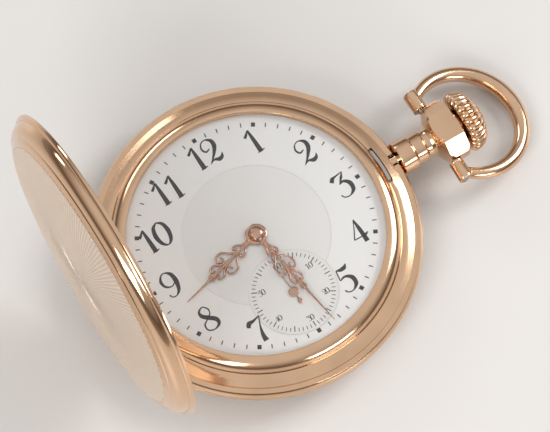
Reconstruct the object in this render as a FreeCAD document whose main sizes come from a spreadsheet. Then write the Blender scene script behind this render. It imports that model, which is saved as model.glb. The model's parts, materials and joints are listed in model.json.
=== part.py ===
"""A hunter-case pocket watch: hinged front and back covers, dust cover, pendant with
bow and winding crown, enamel dial with three hands, and a going-barrel lever movement.

Frame: X towards the crown (3 o'clock), Y towards 12 o'clock, Z up out of the dial.
The origin is the middle of the flat spot of the back cover, on which the watch lies.
"""
import FreeCAD, Part
import math
import os
import re
import Sketcher

# Driving dimensions in millimetres (angles in degrees, counts of teeth plain).
SIZES = {
    # case middle
    "case_radius": 26.45, "bead_radius": 26.0, "seat_radius": 25.1, "snap_radius": 25.0,
    "bore_radius": 21.0, "rim_radius": 22.6, "band_radius": 23.4,
    "back_plane": 4.9, "front_plane": 7.0, "middle_bottom": 4.0, "seat_rise": 0.3,
    "band_top": 7.9, "rim_top": 8.6,
    # bezel and crystal
    "bezel_radius": 23.1, "bezel_top": 9.85, "bezel_bore": 20.55, "bezel_bulge": 0.42,
    "crystal_radius": 20.95, "crystal_seat": 9.3, "crystal_edge": 9.7,
    "crystal_apex": 11.2, "crystal_thick": 0.6,
    # covers
    "cover_radius": 26.2, "cover_wall": 0.42, "groove_radius": 25.5, "groove_rise": 0.92,
    "panel_radius": 22.3, "panel_rise": 3.35, "ring_radius": 23.65, "ring_rise": 2.84,
    "front_dome": 1.5, "back_ring_rise": 2.45, "back_panel_rise": 2.95, "rest_radius": 9.0,
    # hinges at nine o'clock
    "hinge_reach": 26.0, "hinge_drop": 0.5, "knuckle_radius": 0.45, "pin_radius": 0.2,
    "knuckle_length": 2.4, "knuckle_gap": 0.05, "running_gap": 0.03,
    # dust cover
    "dust_radius": 22.6, "dust_bottom": 2.75, "dust_thick": 0.35, "dust_hinge_height": 3.55,
    "dust_knuckle": 0.3, "dust_pin": 0.13,
    # pendant, bow and crown
    "stem_height": 5.95, "neck_start": 26.4, "neck_radius": 2.85, "head_start": 32.9,
    "head_end": 37.2, "head_half_width": 5.1, "head_half_thick": 3.5, "head_facet": 4.35,
    "pendant_bore": 1.45, "recess_depth": 2.1, "spigot_radius": 0.98,
    "pivot_reach": 34.1, "bow_centre": 5.8, "bow_ring": 9.2, "bow_wire": 1.38,
    "bow_wire_end": 0.95, "bow_droop": 17.4, "barrel_radius": 1.28, "barrel_start": 5.2,
    "barrel_end": 8.65, "bow_screw": 0.45,
    "crown_start": 36.7, "crown_length": 5.3, "crown_radius": 5.15, "crown_neck": 2.4,
    "flute_count": 26, "flute_radius": 0.45, "crown_button": 1.9,
    "sleeve_radius": 1.38, "stem_radius": 0.55, "stem_inner_end": 12.2,
    # springs in the case
    "leaf_inner": 23.15, "leaf_thick": 0.45, "leaf_bottom": 4.6, "leaf_top": 7.25,
    "leaf_angle": 35, "catch_angle": 7, "catch_top": 7.7, "catch_travel": 0.5,
    # dial and hands
    "dial_radius": 20.9, "dial_top": 8.7, "dial_thick": 0.8, "subdial_offset": 11.25,
    "subdial_radius": 7.15, "subdial_depth": 0.16, "centre_sink_radius": 11.85,
    "centre_sink_depth": 0.07,
    "hour_hand_length": 15.7, "minute_hand_length": 19.0, "seconds_hand_length": 6.3,
    "hour_hand_height": 9.0, "minute_hand_height": 9.25, "seconds_hand_height": 8.76,
    "hand_thick": 0.13, "hour_angle": -164.8, "minute_angle": -81.0, "seconds_angle": 93.0,
    # movement plates
    "plate_radius": 20.6, "plate_bottom": 6.2, "plate_top": 7.9, "recess_radius": 17.5,
    "recess_floor": 7.2, "bridge_bottom": 3.9, "bridge_top": 4.5, "foot_inner": 18.5,
    "bridge_split": 1.7, "bridge_gap": 0.2, "pivot_radius": 0.15, "pivot_gap": 0.03,
    "jewel_radius": 0.75, "jewel_depth": 0.35,
    # wheels
    "barrel_module": 0.2, "train_module": 0.14, "escape_module": 0.13, "motion_module": 0.15,
    "winding_module": 0.2, "barrel_teeth": 80, "pinion_leaves": 10, "centre_teeth": 80,
    "third_teeth": 75, "fourth_teeth": 70, "escape_leaves": 7, "escape_teeth": 15,
    "escape_radius": 3.3, "cannon_teeth": 12, "minute_teeth": 36, "minute_leaves": 10,
    "hour_teeth": 40, "winding_teeth": 14, "crown_wheel_teeth": 36, "ratchet_teeth": 48,
    "drum_radius": 7.5, "drum_bottom": 4.65, "drum_top": 5.6, "drum_wall": 0.35,
    "barrel_angle": 50, "arbor_radius": 0.9, "cannon_radius": 0.75, "hour_pipe": 1.15,
    "centre_arbor": 0.45, "escape_angle": 160,
    "balance_reach": 8.77, "balance_angle": 140.8, "balance_radius": 6.0, "rim_width": 0.55,
    "fork_reach": 4.3,
}

AXIS_X = FreeCAD.Rotation(FreeCAD.Vector(0, 1, 0), 90)
AXIS_Y = FreeCAD.Rotation(FreeCAD.Vector(1, 0, 0), -90)
AXIS_Z = FreeCAD.Rotation()
SPHERE = "sphere"

doc = FreeCAD.newDocument("pocket_watch")
sheet = doc.addObject("Spreadsheet::Sheet", "Sizes")
for row, (alias, number) in enumerate(SIZES.items(), start=1):
    sheet.set(f"A{row}", alias.replace("_", " "))
    sheet.set(f"B{row}", str(number))
    sheet.setAlias(f"B{row}", alias)
doc.recompute()

nodes = []


# ---------------------------------------------------------------- helpers

def bound(text):
    """The expression text with every size name pointing into the sheet."""
    return re.sub(r"\b([a-z]+_[a-z_]+)\b", r"Sizes.\1", str(text))


def value(text):
    """The number that an expression has with the sheet as it is."""
    return float(sheet.evalExpression(bound(text)))


def place(obj, at, turn=AXIS_Z):
    """Puts an object at a point given as three expressions, turned as asked."""
    obj.Placement = FreeCAD.Placement(FreeCAD.Vector(*[value(v) for v in at]), turn)
    for axis, text in zip("xyz", at):
        if text != "0":
            obj.setExpression(f"Placement.Base.{axis}", bound(text))
    return obj


def keep(obj, label):
    """Marks an object as a finished sub-part of the watch."""
    obj.Label = label
    nodes.append(obj)
    return obj


def cylinder(name, radius, height, at=("0", "0", "0"), turn=AXIS_Z, angle=None):
    """A cylinder along its turned Z, or a sector of one when an angle is given."""
    obj = doc.addObject("Part::Cylinder", name)
    obj.setExpression("Radius", bound(radius))
    obj.setExpression("Height", bound(height))
    if angle is not None:
        obj.setExpression("Angle", bound(angle))
    return place(obj, at, turn)


def box(name, sizes, at, turn=AXIS_Z):
    """A box with its first corner at a point, turned as asked."""
    obj = doc.addObject("Part::Box", name)
    for key, text in zip(("Length", "Width", "Height"), sizes):
        obj.setExpression(key, bound(text))
    return place(obj, at, turn)


def fuse(name, shapes):
    """One solid from several that meet."""
    obj = doc.addObject("Part::MultiFuse", name)
    obj.Shapes = shapes
    obj.Refine = False
    return obj


def cut(name, base, tools):
    """A solid less one or more others."""
    obj = doc.addObject("Part::Cut", name)
    obj.Base = base
    obj.Tool = tools[0] if len(tools) == 1 else fuse(name + "_tools", tools)
    obj.Refine = False
    return obj


def ring(name, inner, outer, bottom, height):
    """A flat ring about the watch's own axis."""
    disc = cylinder(name + "_outer", outer, height, ("0", "0", bottom))
    hole = cylinder(name + "_inner", inner, f"({height})+2", ("0", "0", f"({bottom})-1"))
    return cut(name, disc, [hole])


def sector(name, inner, outer, bottom, height, half_angle, about):
    """A ring's sector, as wide on both sides of a direction in degrees."""
    start = FreeCAD.Rotation(FreeCAD.Vector(0, 0, 1), about - value(half_angle))
    disc = cylinder(name + "_outer", outer, height, ("0", "0", bottom), start,
                    f"2*({half_angle})")
    hole = cylinder(name + "_inner", inner, f"({height})+2", ("0", "0", f"({bottom})-1"))
    return cut(name, disc, [hole])


def sketch_on(body, name, role="XZ_Plane"):
    """A sketch on one of a body's own planes."""
    sketch = body.newObject("Sketcher::SketchObject", name)
    plane = [item for item in body.Origin.OriginFeatures if item.Role == role][0]
    sketch.AttachmentSupport = [(plane, "")]
    sketch.MapMode = "FlatFace"
    return sketch


def edge_of(start, end, bulge):
    """A straight edge, or an arc that stands out to the right of its way by a bulge."""
    if not bulge:
        return Part.LineSegment(start, end)
    way = end - start
    right = FreeCAD.Vector(way.y, -way.x, 0).normalize()
    middle = (start + end) * 0.5 + right * bulge
    if bulge > 0:
        return Part.Arc(start, middle, end)
    return Part.Arc(end, middle, start)


def axial_arc(start, end, along):
    """A shallow arc whose centre lies on the turning axis, so that it makes a sphere."""
    centre = along * ((end.dot(end) - start.dot(start)) / (2 * (end - start).dot(along)))
    outward = ((start + end) * 0.5 - centre).normalize()
    middle = centre + outward * (start - centre).Length
    if (start - centre).cross(end - centre).z > 0:
        return Part.Arc(start, middle, end)
    return Part.Arc(end, middle, start)


def draw_outline(sketch, outline, axis):
    """Draws a closed outline whose corners and arc radii follow the sheet.

    Each corner is (across, up) or (across, up, bulge), and the bulge shapes the
    edge that leaves that corner: a height of arc, or SPHERE for an arc about the axis.
    """
    upright = axis == "V_Axis"
    along = FreeCAD.Vector(0, 1, 0) if upright else FreeCAD.Vector(1, 0, 0)
    corners = [FreeCAD.Vector(value(c[0]), value(c[1]), 0) for c in outline]
    count = len(outline)
    starts = []
    for i, corner in enumerate(outline):
        bulge = corner[2] if len(corner) > 2 else "0"
        following = corners[(i + 1) % count]
        if bulge == SPHERE:
            sketch.addGeometry(axial_arc(corners[i], following, along))
        else:
            sketch.addGeometry(edge_of(corners[i], following, value(bulge)))
        begins = sketch.Geometry[i].StartPoint
        starts.append(1 if begins.distanceToPoint(corners[i]) < 1e-6 else 2)
    for i, corner in enumerate(outline):
        after = (i + 1) % count
        sketch.addConstraint(Sketcher.Constraint("Coincident", i, 3 - starts[i], after,
                                                 starts[after]))
        for kind, text, now in (("DistanceX", corner[0], corners[i].x),
                                ("DistanceY", corner[1], corners[i].y)):
            index = sketch.addConstraint(
                Sketcher.Constraint(kind, -1, 1, i, starts[i], now))
            if "_" in text:
                sketch.setExpression(f"Constraints[{index}]", bound(text))
        if len(corner) > 2 and corner[2] == SPHERE:
            axis_line = -2 if upright else -1
            sketch.addConstraint(Sketcher.Constraint("PointOnObject", i, 3, axis_line))
        elif len(corner) > 2:
            bind_arc(sketch, i, corner, outline[after])


def bind_arc(sketch, i, corner, following):
    """Ties an arc's radius to its two ends and its bulge."""
    across = f"(({following[0]})-({corner[0]}))"
    up = f"(({following[1]})-({corner[1]}))"
    chord = f"({across}*{across}+{up}*{up})"
    bulge = f"({corner[2]})"
    radius = f"abs({chord}/(8*{bulge})+{bulge}/2)"
    index = sketch.addConstraint(Sketcher.Constraint("Radius", i, value(radius)))
    sketch.setExpression(f"Constraints[{index}]", bound(radius))


def revolved(name, outline, axis="V_Axis"):
    """A body turned from an outline about Z (V_Axis) or about X (H_Axis)."""
    body = doc.addObject("PartDesign::Body", name)
    sketch = sketch_on(body, name + "_outline")
    draw_outline(sketch, outline, axis)
    turned = body.newObject("PartDesign::Revolution", name + "_turned")
    turned.Profile = sketch
    turned.ReferenceAxis = (sketch, [axis])
    turned.Angle = 360
    doc.recompute()
    return body


def polar(centre, reach, degrees):
    """A point at a reach and a direction from a centre, as two expressions."""
    x, y = centre
    return (f"({x})+({reach})*cos({degrees})", f"({y})+({reach})*sin({degrees})")


def shown(name, shape):
    """A sub-part whose shape comes straight from geometry functions."""
    obj = doc.addObject("Part::Feature", name)
    obj.Shape = shape
    return obj


# ---------------------------------------------------------------- toothed wheels

def tooth_outline(teeth, module, phase):
    """The closed outline of a toothed disc with slim rounded-off watch teeth."""
    pitch_radius = module * teeth / 2
    step = 2 * math.pi / teeth
    stations = ((-0.30, -1.30), (-0.19, 0.0), (-0.07, 0.85), (0.07, 0.85), (0.19, 0.0),
                (0.30, -1.30))
    points = []
    for tooth in range(teeth):
        for share, rise in stations:
            radius = pitch_radius + rise * module
            angle = phase + (tooth + share) * step
            points.append(FreeCAD.Vector(radius * math.cos(angle), radius * math.sin(angle), 0))
    return Part.makePolygon(points + points[:1])


def toothed_disc(teeth, module, bottom, thick, phase=0.0):
    """A solid toothed disc about the origin's upright axis."""
    face = Part.Face(tooth_outline(int(teeth), module, phase))
    disc = face.extrude(FreeCAD.Vector(0, 0, thick))
    disc.translate(FreeCAD.Vector(0, 0, bottom))
    return disc


def crossed_out(disc, radius, hub, arms, bottom, thick):
    """Cuts the windows between a wheel's arms, leaving rim, arms and hub."""
    windows = Part.makeCylinder(radius, thick * 3, FreeCAD.Vector(0, 0, bottom - thick))
    windows = windows.cut(Part.makeCylinder(hub, thick * 3, FreeCAD.Vector(0, 0, bottom - thick)))
    arm_width = radius / 8
    for arm in range(arms):
        bar = Part.makeBox(radius, arm_width, thick * 3,
                           FreeCAD.Vector(0, -arm_width / 2, bottom - thick))
        bar.rotate(FreeCAD.Vector(), FreeCAD.Vector(0, 0, 1), 360 * arm / arms)
        windows = windows.cut(bar)
    return disc.cut(windows)


def meshing_phase(partner_phase, partner_teeth, direction, teeth):
    """The phase that puts a gap of a wheel against its partner's tooth.

    The direction runs from the partner's centre to this wheel's centre, in radians.
    """
    share = ((direction - partner_phase) * partner_teeth / (2 * math.pi)) % 1.0
    return direction + math.pi + (share + 0.5) * 2 * math.pi / teeth


def arbor(radius, bottom, top):
    """An upright arbor on the origin's axis."""
    return Part.makeCylinder(radius, top - bottom, FreeCAD.Vector(0, 0, bottom))


def direction_of(start, end):
    """The direction in radians from one centre to another."""
    return math.atan2(value(end[1]) - value(start[1]), value(end[0]) - value(start[0]))


def wheel_node(label, shape, centre, degrees=0):
    """Puts a wheel on its own centre, turned as asked, as a finished sub-part."""
    obj = keep(shown(label, shape), label)
    turn = FreeCAD.Rotation(FreeCAD.Vector(0, 0, 1), degrees)
    return place(obj, (centre[0], centre[1], "0"), turn)


# Centres of the movement, as expressions.
CENTRE = ("0", "0")
FOURTH = ("0", "-subdial_offset")
BARREL_REACH = "(barrel_teeth+pinion_leaves)*barrel_module/2"
BARREL = polar(CENTRE, BARREL_REACH, "barrel_angle")
THIRD_FROM_CENTRE = "((centre_teeth+pinion_leaves)*train_module/2)"
THIRD_FROM_FOURTH = "((third_teeth+pinion_leaves)*train_module/2)"
THIRD_Y = (f"(-({THIRD_FROM_CENTRE}^2-{THIRD_FROM_FOURTH}^2+subdial_offset^2)"
           "/(2*subdial_offset))")
THIRD = (f"sqrt({THIRD_FROM_CENTRE}^2-{THIRD_Y}^2)", THIRD_Y)
ESCAPE_REACH = "(fourth_teeth+escape_leaves)*escape_module/2"
ESCAPE = polar(FOURTH, ESCAPE_REACH, "escape_angle")
BALANCE = polar(ESCAPE, "balance_reach", "balance_angle")
FORK = polar(ESCAPE, "fork_reach", "balance_angle")
RATCHET_REACH = "((crown_wheel_teeth+ratchet_teeth)*winding_module/2)"
CROWN_WHEEL = (f"({BARREL[0]})+sqrt({RATCHET_REACH}^2-({BARREL[1]})^2)", "0")
MOTION_REACH = "(cannon_teeth+minute_teeth)*motion_module/2"
MINUTE_ANGLE = "140"
MINUTE = polar(CENTRE, MOTION_REACH, MINUTE_ANGLE)


# ---------------------------------------------------------------- case

def knuckles(name, height, radius, reach, fixed):
    """The knuckles of one hinge leaf: three on the case, two on a cover."""
    pitch = "(knuckle_length+knuckle_gap)"
    slots = (-2, 0, 2) if fixed else (-1, 1)
    pieces = []
    for index in slots:
        start = f"{index}*{pitch}-knuckle_length/2"
        pieces.append(cylinder(f"{name}_{index + 2}", radius, "knuckle_length",
                               (f"-({reach})", start, height), AXIS_Y))
    return pieces


def leaf_blocks(name, bottom, tall, reach, deep, fixed):
    """The short webs that join knuckles to the metal beside them."""
    pitch = "(knuckle_length+knuckle_gap)"
    slots = (-2, 0, 2) if fixed else (-1, 1)
    blocks = []
    for index in slots:
        start = f"{index}*{pitch}-knuckle_length/2"
        blocks.append(box(f"{name}_{index + 2}", (deep, "knuckle_length", tall),
                          (f"-({reach})", start, bottom)))
    return blocks


def pin_hole(name, height, reach, radius):
    """A hole along a whole hinge."""
    return cylinder(name, radius, "7*knuckle_length", (f"-({reach})", "-3.5*knuckle_length", height),
                    AXIS_Y)


def hinge_pin(label, height, reach, radius):
    """A plain pin, fast in the case's knuckles."""
    pin = cylinder(label, radius, "5*knuckle_length+4*knuckle_gap",
                   (f"-({reach})", "-2.5*knuckle_length-2*knuckle_gap", height), AXIS_Y)
    return keep(pin, label)


FRONT_HINGE = "front_plane-hinge_drop"
BACK_HINGE = "back_plane+hinge_drop"
DUST_REACH = "dust_radius+dust_knuckle"


def make_case_middle():
    """The middle: a beaded band with seats for covers and bezel, bored for the movement."""
    blank = revolved("middle_blank", [
        ("bore_radius", "middle_bottom"), ("snap_radius", "middle_bottom"),
        ("snap_radius", "back_plane"), ("bead_radius", "back_plane", "case_radius-bead_radius"),
        ("bead_radius", "front_plane"), ("seat_radius", "front_plane"),
        ("seat_radius", "front_plane+seat_rise"), ("band_radius", "band_top"),
        ("rim_radius", "band_top"), ("rim_radius", "rim_top"), ("bore_radius", "rim_top")])
    stem_hole = cylinder("middle_stem_hole", "pendant_bore", "case_radius",
                         ("bore_radius-3", "0", "stem_height"), AXIS_X)
    lock_room = sector("middle_lock_room", "bore_radius-1", "leaf_inner+leaf_thick+0.25",
                       "leaf_bottom-0.2", "leaf_top-leaf_bottom+0.4", "leaf_angle+3", 0)
    lift_room = sector("middle_lift_room", "bore_radius-1", "leaf_inner+leaf_thick+0.25",
                       "leaf_bottom-0.2", "leaf_top-leaf_bottom+0.4", "leaf_angle+3", 180)
    slot = sector("middle_catch_slot", "leaf_inner-catch_travel-0.1", "leaf_inner+leaf_thick+0.15",
                  "leaf_top-0.1", "band_top", "catch_angle+1.2", 0)
    notch = box("middle_hinge_notch", ("3", "5.3*knuckle_length", "front_plane-back_plane+0.1"),
                ("-hinge_reach-2.4", "-2.65*knuckle_length", "back_plane-0.05"))
    hollowed = cut("middle_hollowed", blank, [stem_hole, lock_room, lift_room, slot, notch])
    parts = [hollowed]
    for name, height in (("front", FRONT_HINGE), ("back", BACK_HINGE)):
        parts += knuckles(f"middle_{name}_knuckle", height, "knuckle_radius", "hinge_reach", True)
        parts += leaf_blocks(f"middle_{name}_leaf", f"({height})-0.35", "0.7", "hinge_reach",
                             "0.9", True)
    parts += knuckles("middle_dust_knuckle", "dust_hinge_height", "dust_knuckle", DUST_REACH, True)
    parts += leaf_blocks("middle_dust_leaf", "dust_hinge_height", "middle_bottom-dust_hinge_height+0.2",
                         f"{DUST_REACH}+0.25", "0.5", True)
    joined = fuse("middle_joined", parts)
    holes = [pin_hole("middle_front_pin_hole", FRONT_HINGE, "hinge_reach", "pin_radius"),
             pin_hole("middle_back_pin_hole", BACK_HINGE, "hinge_reach", "pin_radius"),
             pin_hole("middle_dust_pin_hole", "dust_hinge_height", DUST_REACH, "dust_pin")]
    keep(cut("case_middle", joined, holes), "case_middle")


def cover_outline(plane, sign, ring_rise, panel_rise, top, flat):
    """A cover's section: edge, bead, two grooves, plain ring and domed panel.

    The inside follows the outside at one wall; sign is 1 upwards, -1 downwards.
    """
    def up(rise):
        return f"{plane}+({sign})*({rise})"
    wall = "cover_wall"
    arc_out = flat[1] if flat[1] == SPHERE else f"({sign})*{flat[1]}"
    arc_in = flat[1] if flat[1] == SPHERE else f"-({sign})*{flat[1]}"
    outside = [
        ("cover_radius", up("0"), f"({sign})*0.13"),
        (f"groove_radius+0.3", up("groove_rise-0.1")),
        ("groove_radius", up("groove_rise"), f"({sign})*0.3"),
        ("ring_radius+0.15", up(f"{ring_rise}-0.1")),
        ("ring_radius", up(ring_rise)),
        ("panel_radius", up(panel_rise), arc_out),
        (flat[0], up(top)),
    ]
    inside = [
        (flat[0], up(f"{top}-{wall}"), arc_in),
        (f"panel_radius-{wall}*0.4", up(f"{panel_rise}-{wall}")),
        (f"ring_radius-{wall}*0.6", up(f"{ring_rise}-{wall}"), f"-({sign})*0.3"),
        (f"groove_radius-{wall}*0.6", up(f"groove_rise-{wall}")),
        (f"groove_radius-{wall}*0.5", up("0")),
    ]
    centre = [] if flat[0] == "0" else [("0", up(top)), ("0", up(f"{top}-{wall}"))]
    return outside + centre + inside


def hinged_cover(label, blank, height, web_bottom):
    """A cover with its two knuckles, bored to turn on the hinge pin."""
    parts = [blank]
    parts += knuckles(label + "_knuckle", height, "knuckle_radius", "hinge_reach", False)
    parts += leaf_blocks(label + "_leaf", web_bottom, "hinge_drop+0.3", "hinge_reach+0.3", "0.6",
                         False)
    joined = fuse(label + "_joined", parts)
    hole = pin_hole(label + "_pin_hole", height, "hinge_reach", "pin_radius+running_gap")
    return cut(label, joined, [hole])


def turned_about_y(obj, reach, height, degrees):
    """Swings a finished piece about a hinge line that runs along Y."""
    pivot = FreeCAD.Vector(value(reach), 0, value(height))
    turn = FreeCAD.Placement(FreeCAD.Vector(), FreeCAD.Rotation(FreeCAD.Vector(0, 1, 0), degrees), pivot)
    obj.Placement = turn.multiply(obj.Placement)
    return obj


def make_covers():
    """The front cover, standing open, and the back cover, shut."""
    front = revolved("front_blank", cover_outline("front_plane", "1", "ring_rise", "panel_rise",
                                                  "panel_rise+front_dome", ("0", SPHERE)))
    front_cover = keep(hinged_cover("front_cover", front, FRONT_HINGE, FRONT_HINGE), "front_cover")
    doc.recompute()
    turned_about_y(front_cover, "-hinge_reach", FRONT_HINGE, -90)
    back = revolved("back_blank", cover_outline("back_plane", "-1", "back_ring_rise",
                                                "back_panel_rise", "back_plane",
                                                ("rest_radius", "0.35")))
    keep(hinged_cover("back_cover", back, BACK_HINGE, "back_plane-0.3"), "back_cover")
    hinge_pin("front_hinge_pin", FRONT_HINGE, "hinge_reach", "pin_radius")
    hinge_pin("back_hinge_pin", BACK_HINGE, "hinge_reach", "pin_radius")


def make_dust_cover():
    """The inner dust cover: a flat lid with a skirt, hinged under the middle."""
    lid = revolved("dust_blank", [
        ("0", "dust_bottom"), ("dust_radius-0.4", "dust_bottom"),
        ("dust_radius", "dust_bottom+0.3"), ("dust_radius", "middle_bottom-0.03"),
        ("dust_radius-0.35", "middle_bottom-0.03"),
        ("dust_radius-0.35", "dust_bottom+dust_thick"), ("0", "dust_bottom+dust_thick")])
    relief = box("dust_relief", ("0.8", "5.3*knuckle_length", "3"),
                 (f"-({DUST_REACH})-0.45", "-2.65*knuckle_length", "dust_bottom+0.32"))
    relieved = cut("dust_relieved", lid, [relief])
    parts = [relieved]
    parts += knuckles("dust_knuckle", "dust_hinge_height", "dust_knuckle", DUST_REACH, False)
    parts += leaf_blocks("dust_leaf", "dust_hinge_height-0.2", "0.4", f"{DUST_REACH}", "0.9", False)
    joined = fuse("dust_joined", parts)
    hole = pin_hole("dust_pin_hole", "dust_hinge_height", DUST_REACH, "dust_pin+running_gap")
    keep(cut("dust_cover", joined, [hole]), "dust_cover")
    hinge_pin("dust_hinge_pin", "dust_hinge_height", DUST_REACH, "dust_pin")


def make_bezel_and_crystal():
    """The convex bezel pressed on the middle's rim, and the domed crystal in it."""
    keep(revolved("bezel", [
        ("rim_radius", "band_top+0.03"),
        ("bezel_radius", "band_top+0.03", "bezel_bulge"),
        ("bezel_bore+0.5", "bezel_top"), ("bezel_bore", "bezel_top"),
        ("bezel_bore", "crystal_edge"), ("crystal_radius", "crystal_edge"),
        ("crystal_radius", "crystal_seat"), ("bezel_bore", "crystal_seat"),
        ("bezel_bore", "dial_top+0.02"), ("bore_radius", "dial_top+0.02"),
        ("bore_radius", "rim_top"), ("rim_radius", "rim_top")]), "bezel")
    keep(revolved("crystal", [
        ("0", "crystal_apex-crystal_thick", SPHERE),
        ("bezel_bore-0.2", "crystal_seat"), ("crystal_radius", "crystal_seat"),
        ("crystal_radius", "crystal_edge"), ("bezel_bore-0.05", "crystal_edge", SPHERE),
        ("0", "crystal_apex")]), "crystal")


def make_spring(label, about, catch):
    """A curved leaf spring in the case wall, with a catch or a lifting tongue."""
    leaf = sector(label + "_leaf", "leaf_inner", "leaf_inner+leaf_thick", "leaf_bottom",
                  "leaf_top-leaf_bottom", "leaf_angle", about)
    parts = [leaf]
    if catch:
        parts.append(sector(label + "_catch", "leaf_inner", "leaf_inner+leaf_thick",
                            "leaf_top-0.2", "catch_top-leaf_top+0.2", "catch_angle", about))
    joined = fuse(label + "_joined", parts) if catch else leaf
    side = 1 if about == 0 else -1
    hole = cylinder(label + "_hole", "stem_radius+0.25", "6",
                    (f"{side}*leaf_inner-3", "0", "stem_height"), AXIS_X)
    keep(cut(label, joined, [hole]), label)


# ---------------------------------------------------------------- pendant, bow, crown

def make_pendant():
    """The stepped neck with its spigot in the case, and the faceted head that carries the bow."""
    neck = revolved("pendant_neck", [
        ("neck_start-2", "stem_radius+0.05"), ("neck_start-2", "spigot_radius"),
        ("neck_start", "spigot_radius"), ("neck_start", "neck_radius"),
        ("neck_start+2.6", "neck_radius"), ("neck_start+2.7", "neck_radius-0.25"),
        ("neck_start+4.6", "neck_radius-0.25"), ("neck_start+4.7", "neck_radius-0.5"),
        ("head_start-0.7", "neck_radius-0.5", "-0.35"), ("head_start+0.9", "head_half_width-0.25"),
        ("head_start+1.4", "head_half_width"), ("head_end-0.3", "head_half_width"),
        ("head_end", "head_half_width-0.3"), ("head_end", "crown_neck+0.35"),
        ("head_end-recess_depth", "crown_neck+0.35"),
        ("head_end-recess_depth", "pendant_bore-0.01"),
        ("neck_start+0.3", "pendant_bore-0.01"), ("neck_start+0.3", "stem_radius+0.05")], "H_Axis")
    place(neck, ("0", "0", "stem_height"))
    flats = []
    for angle in range(0, 360, 45):
        if angle in (90, 270):
            continue
        reach = "head_half_thick" if angle in (0, 180) else "head_facet"
        corner = ("head_start-0.4", f"-6*cos({angle})-{reach}*sin({angle})",
                  f"stem_height-6*sin({angle})+{reach}*cos({angle})")
        flats.append(box(f"pendant_flat_{angle}", ("8", "12", "3"), corner,
                         FreeCAD.Rotation(FreeCAD.Vector(1, 0, 0), angle)))
    bores = []
    for side, start in (("north", "2.2"), ("south", "-7.2")):
        bores.append(cylinder(f"pendant_{side}_bore", "bow_screw", "5",
                              ("pivot_reach", start, "stem_height"), AXIS_Y))
    keep(cut("pendant", neck, flats + bores), "pendant")


def bow_wire():
    """The bow's ring: round wire, thickest at its far end, on an open circle."""
    ring_radius = value("bow_ring")
    centre = value("bow_centre")
    end_angle = math.pi - math.acos(centre / ring_radius)
    stations = 12
    circles = []
    for station in range(-stations, stations + 1):
        share = abs(station) / stations
        angle = end_angle * station / stations
        thick = value("bow_wire") + (value("bow_wire_end") - value("bow_wire")) * share ** 2
        along = FreeCAD.Vector(-math.sin(angle), math.cos(angle), 0)
        point = FreeCAD.Vector(centre + ring_radius * math.cos(angle),
                               ring_radius * math.sin(angle), 0)
        circles.append(Part.Wire(Part.makeCircle(thick, point, along)))
    return Part.makeLoft(circles, True, False)


def make_bow():
    """The bow with its two barrels, drooped until it rests beside the watch."""
    shape = bow_wire()
    start, end = value("barrel_start"), value("barrel_end")
    radius, bore = value("barrel_radius"), value("bow_screw") + value("running_gap")
    for side in (1, -1):
        along = FreeCAD.Vector(0, side, 0)
        shape = shape.fuse(Part.makeCylinder(radius, end - start, along * start, along))
    for side in (1, -1):
        along = FreeCAD.Vector(0, side, 0)
        shape = shape.cut(Part.makeCylinder(bore, end, along * (start - 1), along))
        shape = shape.cut(Part.makeCylinder(radius * 0.68, 0.45, along * (end - 0.4), along))
    bow = keep(shown("bow", shape), "bow")
    droop = FreeCAD.Rotation(FreeCAD.Vector(0, 1, 0), value("bow_droop"))
    place(bow, ("pivot_reach", "0", "stem_height"), droop)


def make_bow_screws():
    """Two screws that hold the bow's barrels against the pendant's sides."""
    screws = []
    for name, side in (("north", 1), ("south", -1)):
        shank_start = "2.3" if side == 1 else "-barrel_end+0.42"
        head_start = "barrel_end-0.35" if side == 1 else "-barrel_end+0.05"
        shank = cylinder(f"bow_screw_{name}_shank", "bow_screw-0.005", "barrel_end-0.42-2.3",
                         ("pivot_reach", shank_start, "stem_height"), AXIS_Y)
        head = cylinder(f"bow_screw_{name}_head", "barrel_radius*0.62", "0.3",
                        ("pivot_reach", head_start, "stem_height"), AXIS_Y)
        neck_start = "barrel_end-0.6" if side == 1 else "-barrel_end+0.3"
        neck = cylinder(f"bow_screw_{name}_neck", "bow_screw-0.005", "0.3",
                        ("pivot_reach", neck_start, "stem_height"), AXIS_Y)
        slot = box(f"bow_screw_{name}_slot", ("3", "0.2", "0.2"),
                   ("pivot_reach-1.5", f"{side}*(barrel_end-0.12)-0.1", "stem_height-0.1"))
        screws.append(cut(f"bow_screw_{name}", fuse(f"bow_screw_{name}_solid", [shank, neck, head]),
                          [slot]))
    both = doc.addObject("Part::Compound", "bow_screws")
    both.Links = screws
    keep(both, "bow_screws")


def make_crown():
    """The fluted onion crown with its smooth end button."""
    blank = revolved("crown_blank", [
        ("crown_start", "stem_radius"), ("crown_start", "crown_neck"),
        ("crown_start+1.05", "crown_neck"),
        ("crown_start+1.1", "crown_radius-0.9", "-0.15"),
        ("crown_start+2.3", "crown_radius", "-0.45"),
        ("crown_start+crown_length-0.6", "crown_radius-2.2", "-0.08"),
        ("crown_start+crown_length-0.35", "crown_button", SPHERE),
        ("crown_start+crown_length", "0"), ("crown_start+2.4", "0"),
        ("crown_start+2.4", "stem_radius")], "H_Axis")
    place(blank, ("0", "0", "stem_height"))
    doc.recompute()
    count = int(value("flute_count"))
    flutes = []
    for flute in range(count):
        angle = 2 * math.pi * flute / count
        reach = value("crown_radius") + value("flute_radius") * 0.55
        axis = FreeCAD.Vector(value("crown_start") + 0.3, reach * math.cos(angle),
                              value("stem_height") + reach * math.sin(angle))
        flutes.append(Part.makeCylinder(value("flute_radius"), value("crown_length") - 0.6, axis,
                                        FreeCAD.Vector(1, 0, 0)))
    cutter = shown("crown_flutes", Part.makeCompound(flutes))
    keep(cut("crown", blank, [cutter]), "crown")


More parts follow.
